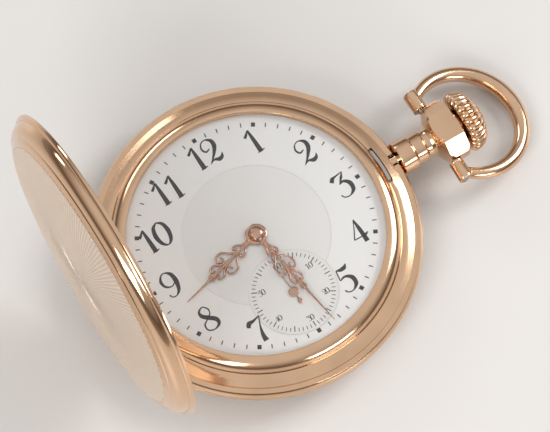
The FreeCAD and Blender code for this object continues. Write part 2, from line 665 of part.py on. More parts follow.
def make_stem():
    """The winding stem and the push sleeve that guides it in the pendant."""
    stem = cylinder("stem", "stem_radius", "crown_start+2.4-stem_inner_end",
                    ("stem_inner_end", "0", "stem_height"), AXIS_X)
    keep(stem, "stem")
    sleeve = revolved("push_sleeve", [
        ("neck_start+0.9", "stem_radius+running_gap"), ("neck_start+0.9", "sleeve_radius"),
        ("crown_start-1.0", "sleeve_radius"), ("crown_start-1.0", "sleeve_radius+0.5"),
        ("crown_start-0.06", "sleeve_radius+0.5"),
        ("crown_start-0.06", "stem_radius+running_gap")], "H_Axis")
    place(sleeve, ("0", "0", "stem_height"))
    keep(sleeve, "push_sleeve")


# ---------------------------------------------------------------- dial and hands

def make_dial():
    """The enamel dial with a sunk centre and a deeper seconds circle."""
    blank = cylinder("dial_blank", "dial_radius", "dial_thick", ("0", "0", "dial_top-dial_thick"))
    centre = cylinder("dial_centre_sink", "centre_sink_radius", "1",
                      ("0", "0", "dial_top-centre_sink_depth"))
    seconds = cylinder("dial_seconds_sink", "subdial_radius", "1",
                       ("0", "-subdial_offset", "dial_top-subdial_depth"))
    middle_hole = cylinder("dial_middle_hole", "hour_pipe+0.15", "3", ("0", "0", "dial_top-2"))
    seconds_hole = cylinder("dial_seconds_hole", "pivot_radius+0.2", "3",
                            ("0", "-subdial_offset", "dial_top-2"))
    keep(cut("dial", blank, [centre, seconds, middle_hole, seconds_hole]), "dial")


def hand_shape(length, hub, bore, waist, tail, thick):
    """A flat hand: round hub, swelling openwork blade, needle point and short tail."""
    outline = [(0, hub * 0.55), (length * 0.22, waist * 0.25), (length * 0.36, waist * 0.5),
               (length * 0.5, waist * 0.22), (length * 0.58, 0.14), (length, 0.05)]
    points = [FreeCAD.Vector(x, y, 0) for x, y in outline]
    points += [FreeCAD.Vector(x, -y, 0) for x, y in reversed(outline)]
    if tail:
        points += [FreeCAD.Vector(-tail, -0.2, 0), FreeCAD.Vector(-tail, 0.2, 0)]
    up = FreeCAD.Vector(0, 0, thick)
    blade = Part.Face(Part.makePolygon(points + points[:1])).extrude(up)
    blade = blade.fuse(Part.makeCylinder(hub, thick))
    return blade.cut(Part.makeCylinder(bore, thick * 3, FreeCAD.Vector(0, 0, -thick)))


def make_hands():
    """Hour, minute and seconds hands, showing just short of half past eight."""
    thick = value("hand_thick")
    upright = FreeCAD.Vector(0, 0, 1)
    hands = (
        ("hour_hand", hand_shape(value("hour_hand_length"), 1.75, value("hour_pipe"), 2.6, 0, thick),
         CENTRE, "hour_hand_height", "hour_angle"),
        ("minute_hand", hand_shape(value("minute_hand_length"), 1.35, value("cannon_radius"), 2.2, 0,
                                   thick), CENTRE, "minute_hand_height", "minute_angle"),
        ("seconds_hand", hand_shape(value("seconds_hand_length"), 0.8, value("pivot_radius"), 0.5,
                                    2.0, thick * 0.7), FOURTH, "seconds_hand_height",
         "seconds_angle"),
    )
    for label, shape, centre, height, angle in hands:
        hand = keep(shown(label, shape), label)
        place(hand, (centre[0], centre[1], height), FreeCAD.Rotation(upright, value(angle)))


# ---------------------------------------------------------------- plates and bridges

def pivot_hole(name, centre, radius, bottom, height):
    """An upright hole about one of the movement's centres."""
    return cylinder(name, radius, height, (centre[0], centre[1], bottom))


def make_main_plate():
    """The main plate, recessed under the dial and slotted for the stem."""
    blank = cylinder("plate_blank", "plate_radius", "plate_top-plate_bottom", ("0", "0", "plate_bottom"))
    recess = cylinder("plate_recess", "recess_radius", "2", ("0", "0", "recess_floor"))
    stem_slot = box("plate_stem_slot", ("7.5", "3.6", "stem_height+2.75-plate_bottom"),
                    ("stem_inner_end-0.7", "-1.8", "plate_bottom-1"))
    stem_groove = cylinder("plate_stem_groove", "stem_radius+0.1", "12.5",
                           ("stem_inner_end-0.7", "0", "stem_height"), AXIS_X)
    holes = [pivot_hole("plate_centre_hole", CENTRE, "hour_pipe+0.2", "plate_bottom-1", "3")]
    for name, centre, radius in (("third", THIRD, "pivot_radius+pivot_gap"),
                                 ("fourth", FOURTH, "pivot_radius+pivot_gap"),
                                 ("escape", ESCAPE, "pivot_radius+pivot_gap"),
                                 ("fork", FORK, "pivot_radius+pivot_gap"),
                                 ("balance", BALANCE, "pivot_radius+pivot_gap"),
                                 ("arbor", BARREL, "arbor_radius*0.6+pivot_gap")):
        holes.append(pivot_hole(f"plate_{name}_hole", centre, radius, "plate_bottom-1", "3"))
    pierced = cut("plate_pierced", blank, [recess, stem_slot, stem_groove] + holes)
    post = pivot_hole("plate_minute_post", MINUTE, "pivot_radius*2", "recess_floor-0.1", "0.75")
    keep(fuse("main_plate", [pierced, post]), "main_plate")


def bridge_blank(name):
    """A whole disc of bridge metal with the foot ring that stands on the main plate."""
    disc = cylinder(f"{name}_disc", "plate_radius-0.2", "bridge_top-bridge_bottom",
                    ("0", "0", "bridge_bottom"))
    foot = ring(f"{name}_foot", "foot_inner", "plate_radius-0.2", "bridge_top",
                "plate_bottom-bridge_top")
    return fuse(f"{name}_blank", [disc, foot])


def stem_room(name):
    """The clear room for the stem and its pinion under the bridges."""
    return box(name, ("12", "4.2", "3"), ("stem_inner_end-1", "-2.1", "bridge_top-0.45"))


def make_bridges():
    """The barrel bridge, the train bridge and the small pallet bridge."""
    split = "bridge_split"
    south = box("barrel_bridge_south", ("44", "22+bridge_split", "4"), ("-22", "-22", "bridge_bottom-1"))
    island = cylinder("barrel_bridge_island",
                      "(crown_wheel_teeth*winding_module)/2+0.9", "4",
                      (CROWN_WHEEL[0], "0", "bridge_bottom-1"))
    removed = cut("barrel_bridge_removed", south, [island])
    arbor_hole = pivot_hole("barrel_bridge_arbor_hole", BARREL, "arbor_radius+pivot_gap",
                            "bridge_bottom-1", "3")
    centre_hole = pivot_hole("barrel_bridge_centre_hole", CENTRE, "2.6", "bridge_bottom-1", "3")
    bolt_hole = pivot_hole("barrel_bridge_bolt_hole", CROWN_WHEEL, "0.6", "bridge_bottom-1", "3")
    balance_room = cylinder("barrel_bridge_balance_room", "balance_radius+0.6", "4",
                            (BALANCE[0], BALANCE[1], "bridge_bottom-1"))
    tools = [removed, arbor_hole, centre_hole, bolt_hole, balance_room,
             stem_room("barrel_bridge_room")]
    keep(cut("barrel_bridge", bridge_blank("barrel_bridge"), tools), "barrel_bridge")

    north = box("train_bridge_north", ("44", "30", "4"), ("-22", f"{split}-bridge_gap", "bridge_bottom-1"))
    clear = cylinder("train_bridge_clear", "(crown_wheel_teeth*winding_module)/2+0.9+bridge_gap",
                     "4", (CROWN_WHEEL[0], "0", "bridge_bottom-1"))
    balance_room = cylinder("train_bridge_balance_room", "balance_radius+0.6", "4",
                            (BALANCE[0], BALANCE[1], "bridge_bottom-1"))
    west = box("train_bridge_west", ("14", "24", "4"), ("-22.5", "-11.5", "bridge_bottom-1"))
    tools = [north, clear, balance_room, west, stem_room("train_bridge_room")]
    for name, centre in (("centre", CENTRE), ("third", THIRD), ("fourth", FOURTH), ("escape", ESCAPE)):
        tools.append(pivot_hole(f"train_bridge_{name}_seat", centre, "jewel_radius",
                                "bridge_bottom-0.1", "jewel_depth+0.1"))
        tools.append(pivot_hole(f"train_bridge_{name}_hole", centre, "pivot_radius+0.35",
                                "bridge_bottom-1", "3"))
    keep(cut("train_bridge", bridge_blank("train_bridge"), tools), "train_bridge")


def make_balance_cock():
    """The cock over the balance, standing on its foot at the plate's edge."""
    outward = math.degrees(math.atan2(value(BALANCE[1]), value(BALANCE[0])))
    turn = FreeCAD.Rotation(FreeCAD.Vector(0, 0, 1), outward)
    reach = "plate_radius-0.4"
    table = cylinder("cock_table", "1.9", "0.4", (BALANCE[0], BALANCE[1], "3.35"))
    start = math.hypot(value(BALANCE[0]), value(BALANCE[1]))
    arm = doc.addObject("Part::Box", "cock_arm")
    arm.setExpression("Length", bound(f"{reach}-{start:.3f}"))
    arm.Width = 3.0
    arm.Height = 0.4
    side = FreeCAD.Vector(0, 1, 0)
    side = turn.multVec(side)
    arm.Placement = FreeCAD.Placement(
        FreeCAD.Vector(value(BALANCE[0]), value(BALANCE[1]), 3.35) - side * 1.5, turn)
    foot_blank = sector("cock_foot", "foot_inner+0.4", reach, "3.35", "plate_bottom-3.35", "9",
                        outward)
    solid = fuse("cock_solid", [table, arm, foot_blank])
    seat = pivot_hole("cock_jewel_seat", BALANCE, "jewel_radius", "3.3", "jewel_depth")
    hole = pivot_hole("cock_hole", BALANCE, "pivot_radius+0.2", "3", "2")
    keep(cut("balance_cock", solid, [seat, hole]), "balance_cock")


def make_jewels():
    """Pierced ruby bearings in the train bridge and the balance cock."""
    stones = []
    for name, centre, bottom in (("centre", CENTRE, "bridge_bottom"), ("third", THIRD, "bridge_bottom"),
                                 ("fourth", FOURTH, "bridge_bottom"),
                                 ("escape", ESCAPE, "bridge_bottom"), ("balance", BALANCE, "3.35")):
        stone = cylinder(f"jewel_{name}_stone", "jewel_radius", "jewel_depth-0.05",
                         (centre[0], centre[1], bottom))
        hole = cylinder(f"jewel_{name}_hole", "pivot_radius+pivot_gap", "2",
                        (centre[0], centre[1], f"{bottom}-1"))
        stones.append(cut(f"jewel_{name}", stone, [hole]))
    all_stones = doc.addObject("Part::Compound", "jewels")
    all_stones.Links = stones
    keep(all_stones, "jewels")


def make_bridge_screws():
    """Cheese-head screws that hold the bridges and the cock to the main plate."""
    screws = []
    places = ((19.4, 30, "bridge_bottom"), (19.4, 80, "bridge_bottom"), (19.4, 140, "bridge_bottom"),
              (19.4, -45, "bridge_bottom"), (19.4, -90, "bridge_bottom"))
    for index, (reach, degrees, seat) in enumerate(places):
        centre = polar(CENTRE, str(reach), str(degrees))
        head = cylinder(f"bridge_screw_{index}_head", "0.8", "0.35", (centre[0], centre[1], f"{seat}-0.35"))
        slot = box(f"bridge_screw_{index}_slot", ("2", "0.25", "0.2"),
                   (f"{centre[0]}-1", f"{centre[1]}-0.125", f"{seat}-0.4"))
        screws.append(cut(f"bridge_screw_{index}", head, [slot]))
    group = doc.addObject("Part::Compound", "bridge_screws")
    group.Links = screws
    keep(group, "bridge_screws")


# ---------------------------------------------------------------- going train

def make_barrel():
    """The mainspring barrel with its toothed edge, the spring, the cover and the arbor."""
    module = value("barrel_module")
    teeth = value("barrel_teeth")
    bottom, top = value("drum_bottom"), value("drum_top")
    radius, wall = value("drum_radius"), value("drum_wall")
    drum = toothed_disc(teeth, module, bottom + 0.05, 0.25, 0.0)
    drum = drum.fuse(Part.makeCylinder(radius, top - bottom, FreeCAD.Vector(0, 0, bottom)))
    drum = drum.cut(Part.makeCylinder(radius - wall, top, FreeCAD.Vector(0, 0, bottom + 0.2)))
    bore = value("arbor_radius") + value("pivot_gap")
    drum = drum.cut(Part.makeCylinder(bore, 9))
    wheel_node("barrel_drum", drum, BARREL)
    cover = Part.makeCylinder(radius - wall, 0.15, FreeCAD.Vector(0, 0, top - 0.15))
    wheel_node("barrel_cover", cover.cut(Part.makeCylinder(bore, 9)), BARREL)
    coils = []
    for coil in range(6):
        outer = radius - wall - 0.05 - coil * 0.75
        shell = Part.makeCylinder(outer, 0.5, FreeCAD.Vector(0, 0, bottom + 0.22))
        coils.append(shell.cut(Part.makeCylinder(outer - 0.3, 2, FreeCAD.Vector(0, 0, bottom - 0.5))))
    wheel_node("mainspring", Part.makeCompound(coils), BARREL)
    shaft = arbor(value("arbor_radius"), 3.3, top + 0.2).fuse(
        arbor(value("arbor_radius") * 0.6, top + 0.1, value("plate_bottom") + 0.6))
    wheel_node("barrel_arbor", shaft, BARREL)


def make_going_wheels():
    """Centre, third, fourth and escape wheels, each with its pinion and arbor."""
    module = value("train_module")
    leaves = value("pinion_leaves")
    pivot = value("pivot_radius")
    to_centre = direction_of(BARREL, CENTRE)
    centre_phase = direction_of(CENTRE, THIRD)
    centre = crossed_out(toothed_disc(value("centre_teeth"), module, 5.75, 0.2, centre_phase),
                         module * value("centre_teeth") / 2 - 0.7, 1.0, 5, 5.75, 0.2)
    pinion_phase = meshing_phase(0.0, value("barrel_teeth"), to_centre, leaves)
    centre = centre.fuse(toothed_disc(leaves, value("barrel_module"), 4.65, 0.35, pinion_phase))
    centre = centre.fuse(arbor(value("centre_arbor"), 4.4, 9.4)).fuse(arbor(pivot, 3.95, 4.45))
    wheel_node("centre_wheel", centre, CENTRE)

    third_phase = direction_of(THIRD, FOURTH)
    third = crossed_out(toothed_disc(value("third_teeth"), module, 5.25, 0.15, third_phase),
                        module * value("third_teeth") / 2 - 0.6, 0.9, 5, 5.25, 0.15)
    leaf_phase = meshing_phase(centre_phase, value("centre_teeth"), centre_phase, leaves)
    third = third.fuse(toothed_disc(leaves, module, 5.55, 0.55, leaf_phase))
    third = third.fuse(arbor(pivot, 3.95, 6.8)).fuse(arbor(pivot * 2, 5.2, 5.6))
    wheel_node("third_wheel", third, THIRD)

    fourth_module = value("escape_module")
    fourth_phase = direction_of(FOURTH, ESCAPE)
    fourth = crossed_out(toothed_disc(value("fourth_teeth"), fourth_module, 5.7, 0.15, fourth_phase),
                         fourth_module * value("fourth_teeth") / 2 - 0.6, 0.8, 5, 5.7, 0.15)
    leaf_phase = meshing_phase(third_phase, value("third_teeth"), third_phase, leaves)
    fourth = fourth.fuse(toothed_disc(leaves, module, 5.1, 0.4, leaf_phase))
    fourth = fourth.fuse(arbor(pivot, 3.95, 8.84)).fuse(arbor(pivot * 2, 5.45, 5.75))
    wheel_node("fourth_wheel", fourth, FOURTH)

    escape = escape_wheel_shape(4.85, 0.2)
    leaf_phase = meshing_phase(fourth_phase, value("fourth_teeth"), fourth_phase,
                               value("escape_leaves"))
    escape = escape.fuse(toothed_disc(value("escape_leaves"), fourth_module, 5.6, 0.4, leaf_phase))
    escape = escape.fuse(arbor(pivot, 3.95, 6.8))
    wheel_node("escape_wheel", escape, ESCAPE)


def escape_wheel_shape(bottom, thick):
    """The fifteen-tooth escape wheel with its raked club teeth."""
    teeth = int(value("escape_teeth"))
    radius = value("escape_radius")
    points = []
    for tooth in range(teeth):
        start = 2 * math.pi * tooth / teeth
        for share, reach in ((0.0, 0.78), (0.32, 0.8), (0.5, 1.0), (0.62, 0.985), (0.55, 0.8)):
            angle = start + share * 2 * math.pi / teeth
            points.append(FreeCAD.Vector(radius * reach * math.cos(angle),
                                         radius * reach * math.sin(angle), bottom))
    disc = Part.Face(Part.makePolygon(points + points[:1])).extrude(FreeCAD.Vector(0, 0, thick))
    return crossed_out(disc, radius * 0.68, 0.6, 4, bottom, thick)


def make_escapement():
    """The pallet fork, the balance with its roller and staff, and the hairspring."""
    pivot = value("pivot_radius")
    toward = value("balance_angle")
    turn_axis = FreeCAD.Vector(0, 0, 1)
    fork = Part.makeBox(2.6, 0.34, 0.2, FreeCAD.Vector(0, -0.17, 4.85))
    arms = Part.makeBox(0.4, 2.2, 0.2, FreeCAD.Vector(-0.2, -1.1, 4.85))
    horns = Part.makeBox(0.6, 0.9, 0.2, FreeCAD.Vector(2.4, -0.45, 4.85))
    horns = horns.cut(Part.makeBox(0.6, 0.36, 0.6, FreeCAD.Vector(2.65, -0.18, 4.6)))
    fork = fork.fuse(arms).fuse(horns).fuse(arbor(pivot, 4.65, 6.8))
    wheel_node("pallet_fork", fork, FORK, toward)

    radius, width = value("balance_radius"), value("rim_width")
    rim = Part.makeCylinder(radius, 0.35, FreeCAD.Vector(0, 0, 4.15))
    rim = rim.cut(Part.makeCylinder(radius - width, 2, FreeCAD.Vector(0, 0, 3.5)))
    bar = Part.makeBox(2 * (radius - width / 2), 0.9, 0.25, FreeCAD.Vector(-(radius - width / 2), -0.45, 4.2))
    balance = rim.fuse(bar).fuse(Part.makeCylinder(0.8, 0.25, FreeCAD.Vector(0, 0, 4.2)))
    for screw in range(12):
        angle = 30 * screw + 15
        head = Part.makeCylinder(0.22, 0.3, FreeCAD.Vector(radius - 0.02, 0, 4.325), FreeCAD.Vector(1, 0, 0))
        head.rotate(FreeCAD.Vector(), turn_axis, angle)
        balance = balance.fuse(head)
    balance = balance.cut(Part.makeCylinder(pivot * 2, 9))
    wheel_node("balance_wheel", balance, BALANCE)
    staff = arbor(pivot, 3.38, 6.8).fuse(arbor(pivot * 2, 3.85, 5.2))
    wheel_node("balance_staff", staff, BALANCE)
    turns = []
    for turn in range(5):
        outer = 0.8 + turn * 0.45
        coil = Part.makeCylinder(outer, 0.15, FreeCAD.Vector(0, 0, 3.92))
        turns.append(coil.cut(Part.makeCylinder(outer - 0.12, 2, FreeCAD.Vector(0, 0, 3))))
    wheel_node("hairspring", Part.makeCompound(turns), BALANCE)


# ---------------------------------------------------------------- motion work and winding

def make_motion_work():
    """Cannon pinion, minute wheel and hour wheel under the dial."""
    module = value("motion_module")
    cannon_phase = direction_of(CENTRE, MINUTE)
    cannon = toothed_disc(value("cannon_teeth"), module, 7.25, 0.2, cannon_phase)
    cannon = cannon.fuse(arbor(value("cannon_radius"), 7.25, 9.6))
    cannon = cannon.cut(arbor(value("centre_arbor"), 7.0, 9.4))
    wheel_node("cannon_pinion", cannon, CENTRE)

    wheel_phase = meshing_phase(cannon_phase, value("cannon_teeth"), cannon_phase,
                                value("minute_teeth"))
    leaf_module = 2 * value(MOTION_REACH) / (value("minute_leaves") + value("hour_teeth"))
    minute = toothed_disc(value("minute_teeth"), module, 7.25, 0.15, wheel_phase)
    leaf_phase = direction_of(MINUTE, CENTRE)
    minute = minute.fuse(toothed_disc(value("minute_leaves"), leaf_module, 7.4, 0.38, leaf_phase))
    minute = minute.cut(arbor(value("pivot_radius") * 2 + value("pivot_gap"), 7.0, 8.0))
    wheel_node("minute_wheel", minute, MINUTE)

    hour_phase = meshing_phase(leaf_phase, value("minute_leaves"), leaf_phase, value("hour_teeth"))
    hour = toothed_disc(value("hour_teeth"), leaf_module, 7.52, 0.2, hour_phase)
    hour = hour.fuse(arbor(value("hour_pipe"), 7.52, 9.13))
    hour = hour.cut(arbor(value("cannon_radius") + value("running_gap"), 7.0, 10.0))
    wheel_node("hour_wheel", hour, CENTRE)


def make_winding():
    """Winding pinion on the stem, crown wheel, ratchet wheel and click."""
    module = value("winding_module")
    to_ratchet = direction_of(BARREL, CROWN_WHEEL)
    ratchet = toothed_disc(value("ratchet_teeth"), module, 3.42, 0.38, to_ratchet)
    wheel_node("ratchet_wheel", ratchet.cut(arbor(value("arbor_radius"), 3, 5)), BARREL)
    phase = meshing_phase(to_ratchet, value("ratchet_teeth"), to_ratchet, value("crown_wheel_teeth"))
    crown_wheel = toothed_disc(value("crown_wheel_teeth"), module, 3.42, 0.38, phase)
    crown_wheel = crown_wheel.fuse(arbor(0.55, 3.42, 4.4))
    wheel_node("crown_wheel", crown_wheel, CROWN_WHEEL)

    tip = value("stem_height") - 4.3
    leaf_module = 2 * tip / (value("winding_teeth") + 1.7)
    pinion = toothed_disc(value("winding_teeth"), leaf_module, -0.7, 1.4)
    pinion = pinion.cut(Part.makeCylinder(value("stem_radius") + value("running_gap"), 9,
                                          FreeCAD.Vector(0, 0, -4)))
    pinion_x = f"({CROWN_WHEEL[0]})+crown_wheel_teeth*winding_module/2"
    obj = keep(shown("winding_pinion", pinion), "winding_pinion")
    place(obj, (pinion_x, "0", "stem_height"), AXIS_X)
    clutch = toothed_disc(value("winding_teeth"), leaf_module, 0, 1.6)
    clutch = clutch.cut(Part.makeCylinder(leaf_module * value("winding_teeth") / 2 - 0.5, 0.5,
                                          FreeCAD.Vector(0, 0, 0.55)).cut(
        Part.makeCylinder(0.8, 0.5, FreeCAD.Vector(0, 0, 0.55))))
    clutch = clutch.cut(Part.makeCylinder(value("stem_radius"), 9, FreeCAD.Vector(0, 0, -4)))
    obj = keep(shown("clutch_wheel", clutch), "clutch_wheel")
    place(obj, (f"{pinion_x}+1.8", "0", "stem_height"), AXIS_X)

    click_angle = direction_of(CENTRE, BARREL)
    ratchet_tip = module * (value("ratchet_teeth") / 2 + 0.85)
    click = Part.makeBox(2.6, 1.0, 0.38, FreeCAD.Vector(ratchet_tip + 0.05, -0.5, 3.42))
    click = click.cut(Part.makeCylinder(0.35, 2, FreeCAD.Vector(ratchet_tip + 1.9, 0, 3)))
    wheel_node("click", click, BARREL, math.degrees(click_angle) + 35)


def make_case_screws():
    """Two screws whose heads lap over the case edge and hold the movement in."""
    screws = []
    for index, degrees in enumerate((110, -70)):
        centre = polar(CENTRE, "plate_radius-0.9", str(degrees))
        head = cylinder(f"case_screw_{index}_head", "0.7", "0.3", (centre[0], centre[1], "bridge_bottom-0.3"))
        slot = box(f"case_screw_{index}_slot", ("2", "0.2", "0.15"),
                   (f"{centre[0]}-1", f"{centre[1]}-0.1", "bridge_bottom-0.35"))
        screws.append(cut(f"case_screw_{index}", head, [slot]))
    group = doc.addObject("Part::Compound", "case_screws")
    group.Links = screws
    keep(group, "case_screws")


# ---------------------------------------------------------------- build, check and write

def build_watch():
    """Makes every sub-part in turn."""
    make_case_middle()
    make_covers()
    make_dust_cover()
    make_bezel_and_crystal()
    make_spring("lock_spring", 0, True)
    make_spring("lift_spring", 180, False)
    make_pendant()
    make_bow()
    make_bow_screws()
    make_crown()
    make_stem()
    make_dial()
    make_hands()
    make_main_plate()
    make_bridges()
    make_balance_cock()
    make_jewels()
    make_bridge_screws()
    make_barrel()
    make_going_wheels()
    make_escapement()
    make_motion_work()
    make_winding()
    make_case_screws()
    doc.recompute()


def check_watch():
    """Stops on any failed object and any empty or faulty shape."""
    for obj in doc.Objects:
        if "Invalid" in obj.State or "Error" in obj.State:
            raise RuntimeError(f"{obj.Name} failed: {obj.State}")
    for obj in nodes:
        if obj.Shape.isNull() or not obj.Shape.isValid() or obj.Shape.Volume <= 0:
            raise RuntimeError(f"{obj.Label} has a faulty shape")


def write_parts():
    """Writes each sub-part to its own STEP file."""
    os.makedirs("parts", exist_ok=True)
    for obj in nodes:
        obj.Shape.exportStep(f"parts/{obj.Label}.step")
        print(f"{obj.Label}: {len(obj.Shape.Solids)} solid(s), {obj.Shape.Volume:.2f} mm3")


build_watch()
check_watch()
write_parts()
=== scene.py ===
import json
import math

import bmesh
import bpy
import numpy as np
from bpy.props import FloatProperty, FloatVectorProperty, IntProperty, PointerProperty
from mathutils import Matrix, Vector


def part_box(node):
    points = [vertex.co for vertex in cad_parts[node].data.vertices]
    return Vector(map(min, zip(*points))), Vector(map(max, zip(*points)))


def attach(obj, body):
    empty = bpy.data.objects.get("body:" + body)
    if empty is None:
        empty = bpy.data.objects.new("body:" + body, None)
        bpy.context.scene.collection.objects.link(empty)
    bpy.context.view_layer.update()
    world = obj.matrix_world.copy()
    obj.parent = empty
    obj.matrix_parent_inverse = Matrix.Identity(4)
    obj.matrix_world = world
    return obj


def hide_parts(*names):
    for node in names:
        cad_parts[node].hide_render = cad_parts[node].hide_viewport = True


bl_info = {
    "name": "Hunter Pocket Watch",
    "version": (1, 0, 0),
    "blender": (4, 5, 0),
    "location": "3D View > Sidebar > Watch",
    "description": "Builds the visible surfaces of a hunter-case pocket watch on its frame",
    "category": "Add Mesh",
}

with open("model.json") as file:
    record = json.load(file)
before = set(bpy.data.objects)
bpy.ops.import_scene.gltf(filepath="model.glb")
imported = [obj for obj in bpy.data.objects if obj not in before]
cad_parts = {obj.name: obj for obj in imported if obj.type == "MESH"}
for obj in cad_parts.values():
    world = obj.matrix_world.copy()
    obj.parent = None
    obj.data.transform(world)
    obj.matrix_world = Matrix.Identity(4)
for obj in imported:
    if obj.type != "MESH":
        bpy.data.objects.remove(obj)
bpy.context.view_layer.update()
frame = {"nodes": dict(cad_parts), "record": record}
MM = 0.001
SECONDS_DROP = 11.25   # how far the seconds circle lies below the dial's centre, in mm
CENTRE_SINK = 11.85    # radius of the dial's sunk centre
SECONDS_SINK = 7.15    # radius of the sunk seconds circle
PRINT_HEIGHT = 0.012   # how far the paint stands above the enamel
COLUMNS_PER_TOOTH = 4  # columns of a cover for each tooth of its panel


def corner_mm(node, which):
    """A node's lowest (0) or highest (1) corner in millimetres."""
    return np.array(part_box(node)[which]) / MM


# ------------------------------------------------------------ user sizes and colours

class WatchSizes(bpy.types.PropertyGroup):
    """Sizes, in millimetres unless they are counts, that shape the visible surfaces."""
    cover_wall: FloatProperty(name="Cover wall", description="Thickness of the covers' metal",
                              default=0.42, min=0.1)
    flute_count: IntProperty(name="Crown flutes", description="Number of ribs round the crown",
                             default=24, min=8)
    flute_depth: FloatProperty(name="Flute depth", description="Depth of the crown's flutes",
                               default=0.5, min=0.0)
    engine_lines: IntProperty(name="Engine-turned rays",
                              description="Number of fine rays cut round each cover",
                              default=180, min=20)
    edge_teeth: IntProperty(name="Panel teeth",
                            description="Number of small teeth round the engine-turned panel",
                            default=132, min=12)
    numeral_height: FloatProperty(name="Numeral height", description="Height of the hour numerals",
                                  default=4.2, min=1.0)
    numeral_radius: FloatProperty(name="Numeral circle",
                                  description="Radius of the circle of numeral centres",
                                  default=16.0, min=5.0)
    track_radius: FloatProperty(name="Minute track", description="Radius of the minute track",
                                default=18.85, min=5.0)


class WatchColours(bpy.types.PropertyGroup):
    """Colours of the watch's finishes."""
    case_gold: FloatVectorProperty(name="Case gold", description="Polished gold of the case",
                                   subtype="COLOR", size=3, default=(0.75, 0.50, 0.325))
    panel_gold: FloatVectorProperty(name="Panel gold", description="Engine-turned gold",
                                    subtype="COLOR", size=3, default=(0.87, 0.73, 0.60))
    enamel: FloatVectorProperty(name="Enamel", description="Fired enamel of the dial",
                                subtype="COLOR", size=3, default=(1.0, 0.99, 0.975))
    ink: FloatVectorProperty(name="Dial paint", description="Fired paint of the numerals",
                             subtype="COLOR", size=3, default=(0.035, 0.032, 0.038))
    hand_gold: FloatVectorProperty(name="Hand gold", description="Rose gold of the hands",
                                   subtype="COLOR", size=3, default=(0.60, 0.37, 0.27))
    table: FloatVectorProperty(name="Table", description="Pale table top",
                               subtype="COLOR", size=3, default=(0.66, 0.652, 0.645))


def sizes():
    """The user's sizes."""
    return bpy.context.scene.watch_sizes


def colour(name):
    """One of the user's colours with full alpha."""
    return (*getattr(bpy.context.scene.watch_colours, name), 1.0)


# ------------------------------------------------------------ surfaces

def shell(points, closed=False):
    """Vertices and faces of a grid of points whose columns run round a closed ring.

    When closed is true the last row also joins the first.
    """
    rows, columns = points.shape[:2]
    index = np.arange(rows * columns).reshape(rows, columns)
    if closed:
        index = np.vstack([index, index[:1]])
    index = np.hstack([index, index[:, :1]])
    quads = np.stack([index[:-1, :-1], index[:-1, 1:], index[1:, 1:], index[1:, :-1]], axis=-1)
    return points.reshape(-1, 3), quads.reshape(-1, 4)


def merged(shells):
    """Several shells as one."""
    counts = np.cumsum([0] + [len(vertices) for vertices, _ in shells])
    vertices = np.vstack([vertices for vertices, _ in shells])
    faces = np.vstack([quads + start for (_, quads), start in zip(shells, counts)])
    return vertices, faces


def lathe(profile, segments=288, closed=True, ripple=None):
    """A profile of (radius, height) turned about Z.

    With a ripple, a third column weighs how far each row follows ripple(angle).
    """
    profile = np.asarray(profile, float)
    angle = np.linspace(0, 2 * np.pi, segments, endpoint=False)
    radius = profile[:, :1] + np.zeros(segments)
    if ripple is not None:
        radius = radius + profile[:, 2:3] * ripple(angle)
    height = np.repeat(profile[:, 1:2], segments, axis=1)
    return shell(np.stack([radius * np.cos(angle), radius * np.sin(angle), height], axis=-1), closed)


def moved(surface, matrix):
    """A surface carried by a 4x4 matrix in millimetres."""
    vertices, faces = surface
    turn = np.array(matrix)
    return vertices @ turn[:3, :3].T + turn[:3, 3], faces


def along_x(x, y, z):
    """The matrix that lays a lathe's Z axis along X and puts its origin at a point."""
    return Matrix.Translation((x, y, z)) @ Matrix.Rotation(math.pi / 2, 4, "Y")


def along_y(x, y, z, side=1):
    """The matrix that lays a lathe's Z axis along plus or minus Y at a point."""
    return Matrix.Translation((x, y, z)) @ Matrix.Rotation(-side * math.pi / 2, 4, "X")


def arc(start, end, bulge, steps=12):
    """Points on a shallow arc from start to end that stands out to the right by a bulge.

    The arc is the parabola start + t(end - start) + 4 bulge t (1 - t) right.
    """
    start, end = np.array(start, float), np.array(end, float)
    way = end - start
    right = np.array([way[1], -way[0]]) / np.linalg.norm(way)
    t = np.linspace(0, 1, steps)[:, None]
    return start + t * way + 4 * bulge * t * (1 - t) * right


def rounded(corners, radius=0.1, steps=4, closed=True):
    """A line through corners with each corner eased by a quadratic curve."""
    corners = np.asarray(corners, float)
    before = np.roll(corners, 1, axis=0) - corners
    after = np.roll(corners, -1, axis=0) - corners
    t = np.linspace(0, 1, steps)[None, :, None]

    def eased(way):
        length = np.linalg.norm(way, axis=1, keepdims=True)
        return way * np.minimum(radius / np.maximum(length, 1e-9), 0.45)

    first, last = corners + eased(before), corners + eased(after)
    if not closed:
        first[0], last[0] = corners[0], corners[0]
        first[-1], last[-1] = corners[-1], corners[-1]
    line = ((1 - t) ** 2 * first[:, None] + 2 * t * (1 - t) * corners[:, None]
            + t ** 2 * last[:, None])
    return line.reshape(-1, 2)


def spline(points, steps=10):
    """A smooth curve through points: cubic spans with the Catmull-Rom tangents."""
    points = np.asarray(points, float)
    if len(points) == 2:
        return points[0] + np.linspace(0, 1, steps)[:, None] * (points[1] - points[0])
    padded = np.vstack([2 * points[0] - points[1], points, 2 * points[-1] - points[-2]])
    a, b, c, d = padded[:-3, None], padded[1:-2, None], padded[2:-1, None], padded[3:, None]
    t = np.linspace(0, 1, steps, endpoint=False)[None, :, None]
    curve = 0.5 * (2 * b + (c - a) * t + (2 * a - 5 * b + 4 * c - d) * t ** 2
                   + (3 * b - a - 3 * c + d) * t ** 3)
    return np.vstack([curve.reshape(-1, 2), points[-1:]])


